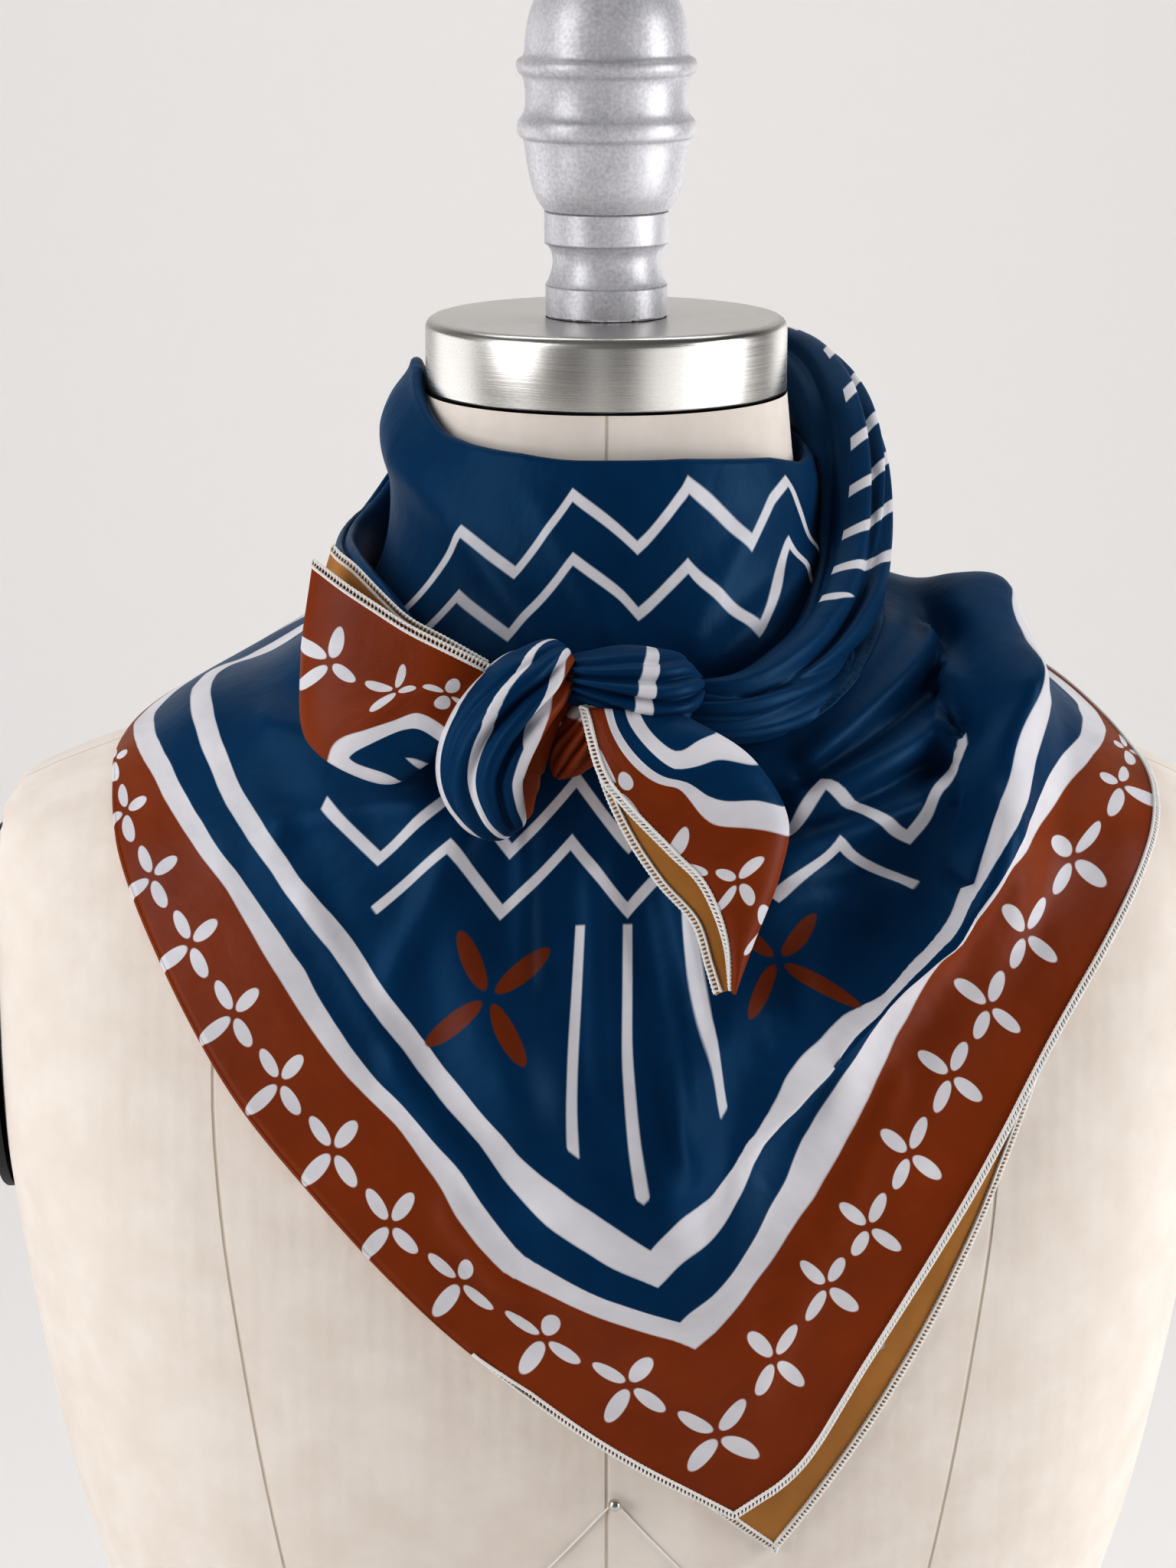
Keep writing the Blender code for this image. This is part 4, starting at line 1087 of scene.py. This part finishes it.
coarse = panel_grid()
corner_column = CORNER_SECTION * PANEL_STEPS
front_flat = with_print(refined_sheet(flattened(coarse, corner_column), corner_column))
front_grid = refined_sheet(coarse, corner_column)
below_edge = np.clip(np.arange(len(front_grid)) / 24.0, 0, 1)[:, None]
crease = fold_height(front_grid, FINE_FOLDS) * below_edge * FINE_DEPTH
front_grid = settled_edge(lipped(front_grid + grid_normals(front_grid) * crease[..., None]))
front_grid[1:] = all_clear(front_grid[1:], form_tree, PANEL_CLEAR - 1.2)

outward = front_grid[0] * np.array([1, 1, 0])
outward /= np.linalg.norm(outward, axis=1, keepdims=True)
flat_up = front_flat[0] - front_flat[1]
flat_up /= np.linalg.norm(flat_up, axis=1, keepdims=True)
rolled, rolled_flat = [], []
for drop in (TURNED_IN, TURNED_IN * 0.7, TURNED_IN * 0.4, TURNED_IN * 0.15, 1.0):
    rolled.append(front_grid[0] - outward * (2 * ROLL_RADIUS + 0.2) - np.array([0, 0, drop]))
    rolled_flat.append(front_flat[0] + flat_up * (math.pi * ROLL_RADIUS + drop))
for a in np.radians((150, 120, 90, 60, 30)):
    over = np.array([0, 0, ROLL_RADIUS * math.sin(a)])
    rolled.append(front_grid[0] - outward * ROLL_RADIUS * (1 - math.cos(a)) + over)
    rolled_flat.append(front_flat[0] + flat_up * ROLL_RADIUS * a)
full_grid = np.concatenate([rolled, front_grid])
full_flat = np.concatenate([rolled_flat, front_flat])

front = surface("silk_front", full_grid, {"cloth": full_flat / 1000}, silk_face)
as_cloth(front, "scarf_front")


# Turned edge and overlocked hems. Along the left shoulder the side of the square is folded under to a round
# edge. Elsewhere the raw edge is overlocked: a white thread wraps it, between two rails of thread.
TURNED_RADIUS = 1.3
TURNED_BACK = 9.0         # how far the turned layer runs back under the front
HEM_WIDTH = 2.5
HEM_PITCH = 1.3           # between two stitches
HEM_THREAD = 0.36         # radius of the wrapping thread
HEM_RAIL = 0.52           # radius of the thread along both sides
HEM_LIFT = 0.62           # of the stitches off the middle of the cloth
HEM_GROWS = 22.0          # length over which the stitches reach their width where the turned edge ends

turned_normals = grid_normals(front_grid)[-1, :TUCK_COLUMN]
side_edge = front_grid[-1, :TUCK_COLUMN]
side_out = front_grid[-1] - front_grid[-2]
side_out = (side_out / np.linalg.norm(side_out, axis=1, keepdims=True))[:TUCK_COLUMN]
side_flat = front_flat[-1, :TUCK_COLUMN]
fade = np.clip((TUCK_COLUMN - 1 - np.arange(TUCK_COLUMN)) / 14.0, 0.05, 1)[:, None]
turned, turned_flat = [], []
for a in np.radians((0, 30, 60, 90, 120, 150, 180)):
    bent = side_out * math.sin(a) - turned_normals * (1 - math.cos(a))
    turned.append(side_edge + bent * TURNED_RADIUS * fade)
    turned_flat.append(side_flat - np.array([0, TURNED_RADIUS * a]) * fade)
for back in (TURNED_BACK * 0.3, TURNED_BACK * 0.65, TURNED_BACK):
    turned.append(turned[6] - side_out * back * fade)
    turned_flat.append(turned_flat[6] - np.array([0, back]) * fade)
turned_map = np.array(turned_flat) / 1000
turned_edge = surface("silk_front_turned_edge", np.array(turned), {"cloth": turned_map}, silk_face)
as_cloth(turned_edge, None)


def overlocked(name, edge, inward, grow=0.01):
    """Overlock stitches round the raw edge of a sheet. inward points from the edge into the cloth. The
    stitches reach their full width over the length grow."""
    edge, inward = np.asarray(edge, float), np.asarray(inward, float)
    run = np.concatenate([[0], np.cumsum(np.linalg.norm(np.diff(edge, axis=0), axis=1))])
    stops = np.arange(0, run[-1], HEM_PITCH / 7)
    path = np.stack([np.interp(stops, run, edge[:, c]) for c in range(3)], axis=1)
    into = np.stack([np.interp(stops, run, inward[:, c]) for c in range(3)], axis=1)
    into /= np.linalg.norm(into, axis=1, keepdims=True)
    normal = np.cross(np.gradient(path, axis=0), into)
    normal /= np.linalg.norm(normal, axis=1, keepdims=True)
    phase = (2 * math.pi * stops / HEM_PITCH)[:, None]
    width = HEM_WIDTH * np.clip(stops / grow, 0.12, 1)[:, None]
    wrap = path + into * (width - (width + 0.2) * np.cos(phase)) / 2 + normal * HEM_LIFT * np.sin(phase)
    tubes = [tube(wrap, HEM_THREAD, 5)]
    for depth, lift in ((0.1, 0.0), (0.85, 0.8), (0.85, -0.8)):
        tubes.append(tube((path + into * width * depth + normal * HEM_LIFT * lift)[::4], HEM_RAIL, 6))
    piece = joined_tubes(name, tubes, cotton)
    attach(piece, "root")
    return piece


hem = front_grid[-1, TUCK_COLUMN - 4:]
overlocked("hem_front", hem, (front_grid[-2] - front_grid[-1])[TUCK_COLUMN - 4:], HEM_GROWS)


# Under layer: the other corner of the folded square. It lies on the canvas and shows below the right side,
# with its paler reverse outwards.
UNDER_TIP = (50.0, 327.0)
UNDER_RIGHT = (127.0, 470.0)
UNDER_LEFT = (-38.0, 400.0)
UNDER_INNER = (30.0, 452.0)
UNDER_BOW = 6.0
UNDER_CLEAR = 1.3
UNDER_COLUMNS = 60
UNDER_ROWS = 90

shares_in = np.linspace(0, 1, UNDER_COLUMNS + 1)
shares_up = np.linspace(0, 1, UNDER_ROWS + 1)
under = np.zeros((UNDER_ROWS + 1, UNDER_COLUMNS + 1, 3))
for i, b in enumerate(shares_up):
    for k, a in enumerate(shares_in):
        low = np.array(UNDER_TIP) * (1 - b) + np.array(UNDER_RIGHT) * b
        high = np.array(UNDER_LEFT) * (1 - b) + np.array(UNDER_INNER) * b
        bow = UNDER_BOW * math.sin(math.pi * b) * (1 - a)
        x, z = low * (1 - a) + high * a + bow * np.array([0.88, -0.47])
        hit = on_form(x, z, 0.0)
        lift = UNDER_CLEAR + 0.5 * math.sin(9 * b + 3 * a) * (1 - a)
        under[i, k] = pushed_clear(form_tree, hit - np.array([0, lift, 0]), UNDER_CLEAR - 0.3)
side_length = np.linalg.norm(np.diff(under[:, 0], axis=0), axis=1).sum()
foot_length = np.linalg.norm(np.diff(under[0], axis=0), axis=1).sum()
under_flat = np.stack(np.meshgrid(shares_in * foot_length, shares_up * side_length), axis=2)
under_layer = surface("silk_under_layer", under, {"cloth": under_flat / 1000}, silk_face)
as_cloth(under_layer, "scarf_under_layer", face_out=False)
overlocked("hem_under_side", under[:, 0], under[:, 1] - under[:, 0])
overlocked("hem_under_foot", under[0], under[1] - under[0])


# Gathered stretches. From the nape the two ends of the scarf come forward as soft rolls of many layers, one
# high round the right of the neck, one low round the left. Their gathers run lengthwise.
NAPE_TO_RIGHT = [
    # turn, radius, z, high, thick
    (-148, 70.5, 608, 4, 1),
    (-157, 71.5, 616, 9, 2.4),
    (-166, 75.5, 625.5, 13.5, 4.8),
    (-176, 79, 634, 15.5, 6),
    (-184, 80.5, 642, 15, 6.5),
    (-193, 80.5, 650, 14, 7.5),
    (-206, 78.5, 656, 13, 8.5),
    (-222, 77, 658, 12.5, 9.5),
    (-238, 75, 655, 13, 11.5),
    (-253, 74, 646, 13.5, 13),
    (-265, 74.5, 633, 14, 13.5),
    (-276, 75.5, 618, 15, 13.5),
    (-287, 77.5, 604, 16, 13),
    (-299, 81, 593, 16.5, 12),
    (-311, 86, 585, 16, 9.5),
    (-323, 91, 580, 14, 9),
    (-335, 96, 577, 11, 8),
    (-344, 97, 577.5, 9, 7),
    (-353, 94, 580, 6, 5),
]
NAPE_TO_LEFT = [
    # turn, radius, z, high, thick
    (148, 70.5, 609, 4, 1),
    (157, 70.5, 617, 8.5, 2.2),
    (166, 70.8, 626, 12.5, 3.4),
    (176, 70, 637, 14, 3.5),
    (184, 69.2, 647, 12.5, 3.7),
    (193, 70.5, 654, 11.5, 4),
    (203, 75, 652, 11, 4.5),
    (214, 80, 640, 11, 5),
    (226, 80, 623, 12, 5.5),
    (240, 81, 608, 12.5, 5.5),
    (256, 81, 601, 13, 5.5),
    (272, 80, 599, 13.5, 5.5),
    (288, 81, 598, 14, 5.5),
    (303, 85, 595, 14, 5.5),
    (314, 89, 591, 12, 6),
    (323, 94, 587, 9, 6),
    (332, 98, 583, 7, 5),
]
ROLL_GATHERS = [
    # turn round the roll at its start and end in degrees, half width, depth as a share of its size
    (60, 118, 10, 0.30),
    (150, 92, 8, 0.24),
    (10, 62, 9, 0.28),
    (205, 150, 10, 0.2),
    (330, 20, 9, 0.24),
    (300, 350, 12, 0.2),
    (105, 34, 6, 0.16),
    (85, 134, 5, 0.12),
]
ROLL_STEPS = 8            # rings for each row of the tables
ROLL_SIDES = 96
ROLL_MARGIN = 1.3         # middle of the roll's cloth to the middle of the front
ROLL_START = 1000.0       # place on the square of its start
ROLL_PLAIN = 500.0        # distance from the hem with nothing drawn
ROLL_SLANT = 0.95         # of the bands where they cross the roll
ROLL_TURN_OVER = 48.0     # how far the print turns away towards the knot


def gathered(path, sizes, facing, gathers, sides):
    """Rings of a gathered stretch round its path, each high across it and thick along facing."""
    path, facing = np.asarray(path, float), np.asarray(facing, float)
    along = np.gradient(path, axis=0)
    along /= np.linalg.norm(along, axis=1, keepdims=True)
    depth = facing - along * (facing * along).sum(axis=1, keepdims=True)
    depth /= np.linalg.norm(depth, axis=1, keepdims=True)
    side = np.cross(along, depth)
    turns = np.linspace(0, 360, sides, endpoint=False)
    share = np.linspace(0, 1, len(path))
    shrink = np.ones((len(path), sides))
    for start, end, width, amount in gathers:
        off = (turns[None, :] - (start + (end - start) * share)[:, None] + 180) % 360 - 180
        shrink -= amount * np.exp(-(off / width) ** 2)
    sizes = np.asarray(sizes, float)
    cos, sin = np.cos(np.radians(turns)), np.sin(np.radians(turns))
    rings = side[:, None] * (sizes[:, :1] * cos)[..., None]
    rings += depth[:, None] * (sizes[:, 1:] * sin)[..., None]
    return path[:, None] + rings * shrink[..., None]


def rolled_map(rings, start, slant, middle, seen, turn_over):
    """Places on the square along a roll and round it. The side that is seen, a share of the way round from
    its upper edge, has the middle distance from the hem. Towards the knot the roll turns its print away."""
    centre = rings.mean(axis=1)
    along = np.concatenate([[0], np.cumsum(np.linalg.norm(np.diff(centre, axis=0), axis=1))])
    step = np.linalg.norm(np.roll(rings, -1, axis=1) - rings, axis=2)
    around = np.concatenate([np.zeros((len(rings), 1)), np.cumsum(step, axis=1)], axis=1)
    across = around - around[:, int(rings.shape[1] * seen)][:, None]
    share = np.clip((along / along[-1] - 0.6) / 0.25, 0, 1)[:, None]
    return np.stack([start + along[:, None] + slant * across, middle + across + turn_over * share], axis=2)


sheet_tree = form_tree_of(front_grid[::-3, ::2])


def nape_roll(name, table, seen, middle, node):
    """One gathered stretch, lying on the front of the scarf."""
    rows = [smooth_row(table, i / ROLL_STEPS) for i in range((len(table) - 1) * ROLL_STEPS + 1)]
    path = [polar(*row[:3]) for row in rows]
    facing = [polar(row[0], 1.0, 0.0) for row in rows]
    rings = gathered(path, [row[3:] for row in rows], facing, ROLL_GATHERS, ROLL_SIDES)
    rings = all_clear(rings, sheet_tree, ROLL_MARGIN)
    places = rolled_map(rings, ROLL_START, ROLL_SLANT, middle, seen, ROLL_TURN_OVER)
    piece = surface(name, rings, {"cloth": places / 1000}, silk_face, closed=True)
    as_cloth(piece, node)


nape_roll("silk_nape_to_right", NAPE_TO_RIGHT, 0.125, BANDS[0], "scarf_nape_to_right")
nape_roll("silk_nape_to_left", NAPE_TO_LEFT, 0.375, ROLL_PLAIN, "scarf_nape_to_left")


# Knot: a loop of one end pulled tight over the other, the core that it holds, and below them the root from
# which a tail leaves. The silk is bunched into them, so stripes run down the loop and bend with it.
KNOT_LOOP = [
    # x, y, z, across, thick
    (-12, -95, 594.5, 2.5, 4),
    (-14, -96, 593, 7.5, 11),
    (-18.5, -98, 588, 11, 15.5),
    (-24.5, -100, 582, 13.5, 18),
    (-31, -101.5, 572.5, 15.5, 18.5),
    (-34, -102.5, 562, 15.5, 17),
    (-32, -102.5, 552.5, 13, 13.5),
    (-28.5, -101, 546, 8, 9),
    (-27, -100.5, 544, 2.5, 3),
]
KNOT_CORE = [
    # x, y, z, high, thick
    (-13.5, -95, 588, 2.5, 4),
    (-11.5, -97, 588, 6, 10),
    (-5, -98, 587, 8.5, 14),
    (4, -97, 585.5, 11, 17),
    (13, -95.5, 584, 11.5, 16.5),
    (21.5, -92, 584, 9.5, 12),
    (26.5, -90, 584.5, 3, 5),
]
KNOT_ROOT = [
    # x, y, z, across, thick
    (1, -98, 584, 2.5, 4),
    (-2, -100.5, 579.5, 6.5, 9),
    (-6, -101, 573, 8, 10.5),
    (-10.5, -100, 566, 7, 9),
    (-14, -98, 560, 2.5, 4),
]
LOOP_GATHERS = [
    # turn round it at its start and end in degrees, half width, depth as a share of its size
    (100, 50, 8, 0.16),
    (122, 92, 6, 0.22),
    (150, 138, 9, 0.18),
    (60, 22, 7, 0.12),
    (84, 74, 5, 0.10),
]
CORE_GATHERS = [
    # the same for the core and the root
    (84, 40, 8, 0.22),
    (96, 84, 6, 0.28),
    (108, 128, 8, 0.24),
    (70, 8, 8, 0.16),
    (128, 168, 8, 0.16),
]
KNOT_STEPS = 12
KNOT_SIDES = 96
LOOP_PRINT = [
    # turn round the loop from its left rim, distance from the hem there
    (-90, 56), (8, 62), (11, 65.5), (25, 74), (45, 80), (65, 74), (75, 65.5), (118, 54.5), (137, 46),
    (180, 36), (240, 40),
]
LOOP_TWIST = 60.0         # further turn of the lines at the upper end
CORE_PRINT = [
    # x, distance from the hem
    (-14, 84), (4, 78), (9.5, 74), (13.5, 65.5), (17, 61), (27, 57),
]
ROOT_PRINT = [
    # x, distance from the hem
    (-20, 36), (-8, 44), (-6, 46), (-2, 54.5), (2, 60),
]


def knotted(name, table, gathers, printed, twist, bow):
    """A closed soft shape of bunched silk. Its print has given distances from the hem: by the turn round it
    where it has a twist, and by x, bent by bow, where it has none."""
    rows = np.array([smooth_row(table, i / KNOT_STEPS) for i in range((len(table) - 1) * KNOT_STEPS + 1)])
    rings = gathered(rows[:, :3], rows[:, 3:], [(0, -1, 0)] * len(rows), gathers, KNOT_SIDES)
    turns = np.linspace(0, 360, KNOT_SIDES + 1)
    share = np.linspace(0, 1, len(rows))[:, None]
    stops, bands = np.array(printed, float).T
    if twist:
        angle = np.where(turns > 270, turns - 360, turns)[None] + twist * np.clip(1 - 2 * share, 0, 1)
        inward = np.interp(angle, stops, bands)
    else:
        inward = np.interp(rows[:, :1] - bow * np.sin(np.radians(turns))[None], stops, bands)
    places = np.stack([1000 + 70 * share + np.zeros(KNOT_SIDES + 1), inward], axis=2)
    return surface(name, rings, {"cloth": places / 1000}, silk_face, closed=True)


loop = knotted("silk_knot_loop", KNOT_LOOP, LOOP_GATHERS, LOOP_PRINT, LOOP_TWIST, 0.0)
core = knotted("silk_knot_core", KNOT_CORE, CORE_GATHERS, CORE_PRINT, 0.0, -3.0)
root = knotted("silk_knot_root", KNOT_ROOT, CORE_GATHERS, ROOT_PRINT, 0.0, 2.0)
as_cloth(loop, "scarf_knot_loop")
as_cloth(core, "scarf_knot_core")
as_cloth(root, None)


# Tails: the two far corners of the square, folded on their diagonals. The printed face is outside, the
# ochre reverse shows between the overlocked sides, and the fold runs down the far side.
LEFT_TAIL = [
    # front hem x, y, z, fold x, y, z, back hem x, y, z
    (-33.9, -102, 592.5, -44, -100, 569, -34.4, -97, 592.5),
    (-46, -104, 599, -52.5, -102, 563, -46, -96, 599),
    (-57, -101, 604, -62, -102, 557.5, -57, -91, 604),
    (-66, -97, 609, -73, -100, 559.5, -65, -85, 610),
    (-75, -92, 614, -84, -95, 565, -73, -79, 617),
    (-82, -86, 618, -89, -89, 573, -78, -74, 620),
    (-85, -82, 619.5, -89, -82, 593, -80, -72, 622),
]
LEFT_TAIL_BELLY = 5.0
RIGHT_TAIL = [
    # front hem x, y, z, fold x, y, z, back hem x, y, z
    (-8, -108.5, 581.6, 14, -102.5, 580.9, -7, -100.5, 577.6),
    (-3, -119, 565, 26, -110, 577, -2, -110, 560),
    (4, -123, 556, 41, -115, 568, 5, -114, 545),
    (17, -126, 543, 51, -119, 552, 14, -118, 532),
    (26, -128, 534, 49, -122, 536, 24, -121, 521),
    (32.5, -129, 519, 41.5, -124, 516, 28, -124, 509),
    (35, -128, 503.5, 36.5, -126.5, 503, 30.5, -126, 501),
]
RIGHT_TAIL_BELLY = 7.0
LEFT_TAIL_PRINT = [
    # x, z in the front view, distance from the other side of the square, distance from the front side
    (-85.3, 620.7, 0, 0),
    (-62.8, 603.8, 40, 0),
    (-30.8, 585.3, 85, 0),
    (-79.8, 592.2, 24, 24),
    (-60.4, 585.3, 51, 24),
    (-81.1, 562.8, 46, 46),
    (-74.3, 565.2, 54.5, 54.5),
    (-70.5, 573.2, 56, 46),
    (-61.1, 576.7, 66, 46),
    (-54.8, 579.1, 76, 46),
    (-60.1, 573.5, 66, 54.5),
    (-49.6, 571.7, 80, 54.5),
    (-88.2, 576.5, 32, 40),
    (-87.8, 599.6, 12, 18),
    (-63.9, 556.1, 46, 68),
    (-59.7, 559.8, 56, 70),
    (-65.3, 568.7, 62, 58),
]
RIGHT_TAIL_PRINT = [
    # the same for the right tail
    (3.5, 560.7, 105, 24),
    (16.8, 541, 78, 24),
    (36.8, 535.7, 51, 24),
    (44.8, 521.1, 25, 24),
    (-7.3, 575, 125, 12),
    (-0.3, 557.5, 100, 16),
    (8.2, 546.2, 90, 18),
    (23.1, 533.3, 70, 14),
    (27.9, 525.2, 50, 8),
    (33.5, 511.3, 22, 2),
    (33.2, 497.4, 0, 0),
    (19.5, 561.5, 92, 46),
    (30, 551.9, 74, 46),
    (42.5, 550.1, 62, 46),
    (51.7, 546.6, 54, 46),
    (26.9, 560.3, 80, 54.5),
    (42.4, 558.1, 70, 54.5),
    (49.5, 555.5, 64, 54.5),
    (19.1, 566.3, 96, 65.5),
    (30.7, 568.7, 88, 65.5),
    (40.8, 566.9, 80, 65.5),
    (25.2, 573.5, 96, 74),
    (3.5, 577.4, 118, 58),
]
TAIL_STEPS = 14
TAIL_ACROSS = 72
BACK_FULLNESS = 1.2       # length of the hidden hem for the length that its fold lies along
PLATE_GIVE = 3.0          # how softly the plate of on_plate follows its marks


def on_plate(points, marks):
    """Places of the print at points of the front view, on a smooth plate that is bent through the marks."""
    marks = np.array(marks, float)
    spots = marks[:, :2]

    def bend(distance):
        return distance ** 2 * np.log(distance + 1e-9)

    count = len(marks)
    left = np.zeros((count + 3, count + 3))
    left[:count, :count] = bend(np.linalg.norm(spots[:, None] - spots[None], axis=2))
    left[:count, :count] += PLATE_GIVE * np.eye(count)
    left[:count, count] = 1
    left[:count, count + 1:] = spots
    left[count:, :count] = left[:count, count:].T
    weights = np.linalg.solve(left, np.concatenate([marks[:, 2:], np.zeros((3, 2))]))
    flat_points = points.reshape(-1, 2)
    reach = bend(np.linalg.norm(flat_points[:, None] - spots[None], axis=2))
    placed = reach @ weights[:count] + weights[count] + flat_points @ weights[count + 1:]
    return placed.reshape(points.shape)


def tail(name, table, belly, marks, node):
    """A folded corner: the cloth runs from the front hem round the fold to the back hem."""
    rows = [smooth_row(table, i / TAIL_STEPS) for i in range((len(table) - 1) * TAIL_STEPS + 1)]
    grid = np.zeros((len(rows), TAIL_ACROSS + 1, 3))
    for i, row in enumerate(rows):
        near, fold, far = row[0:3], row[3:6], row[6:9]
        for k, t in enumerate(np.linspace(0, 1, TAIL_ACROSS + 1)):
            if t <= 0.5:
                swell = np.array([0, -0.8 * belly * math.sin(2 * math.pi * t), 0])
                grid[i, k] = near + (fold - near) * math.sin(math.pi * t) + swell
            else:
                swell = np.array([0, 0.1 * belly * math.sin(2 * math.pi * (t - 0.5)), 0])
                grid[i, k] = far + (fold - far) * math.cos(math.pi * (t - 0.5)) + swell
    middle = TAIL_ACROSS // 2
    places = np.zeros((len(rows), TAIL_ACROSS + 1, 2))
    places[:, :middle + 1] = on_plate(grid[:, :middle + 1, [0, 2]], marks)
    step = np.linalg.norm(np.diff(grid[:, -1], axis=0), axis=1)
    far_run = np.concatenate([np.cumsum(step[::-1])[::-1], [0]]) * BACK_FULLNESS
    back = np.linspace(0, 1, TAIL_ACROSS - middle + 1)[None, :, None]
    behind = np.stack([np.zeros(len(rows)), far_run], axis=1)[:, None]
    places[:, middle:] = places[:, middle:middle + 1] * (1 - back) + behind * back
    piece = surface(name, grid, {"cloth": places / 1000}, silk_face)
    as_cloth(piece, node)
    hems = [overlocked(name.replace("silk", "hem") + "_front", grid[:, 0], grid[:, 2] - grid[:, 0]),
            overlocked(name.replace("silk", "hem") + "_back", grid[:, -1], grid[:, -3] - grid[:, -1])]


tail("silk_left_tail", LEFT_TAIL, LEFT_TAIL_BELLY, LEFT_TAIL_PRINT, "scarf_left_tail")
tail("silk_right_tail", RIGHT_TAIL, RIGHT_TAIL_BELLY, RIGHT_TAIL_PRINT,
     "scarf_right_tail")
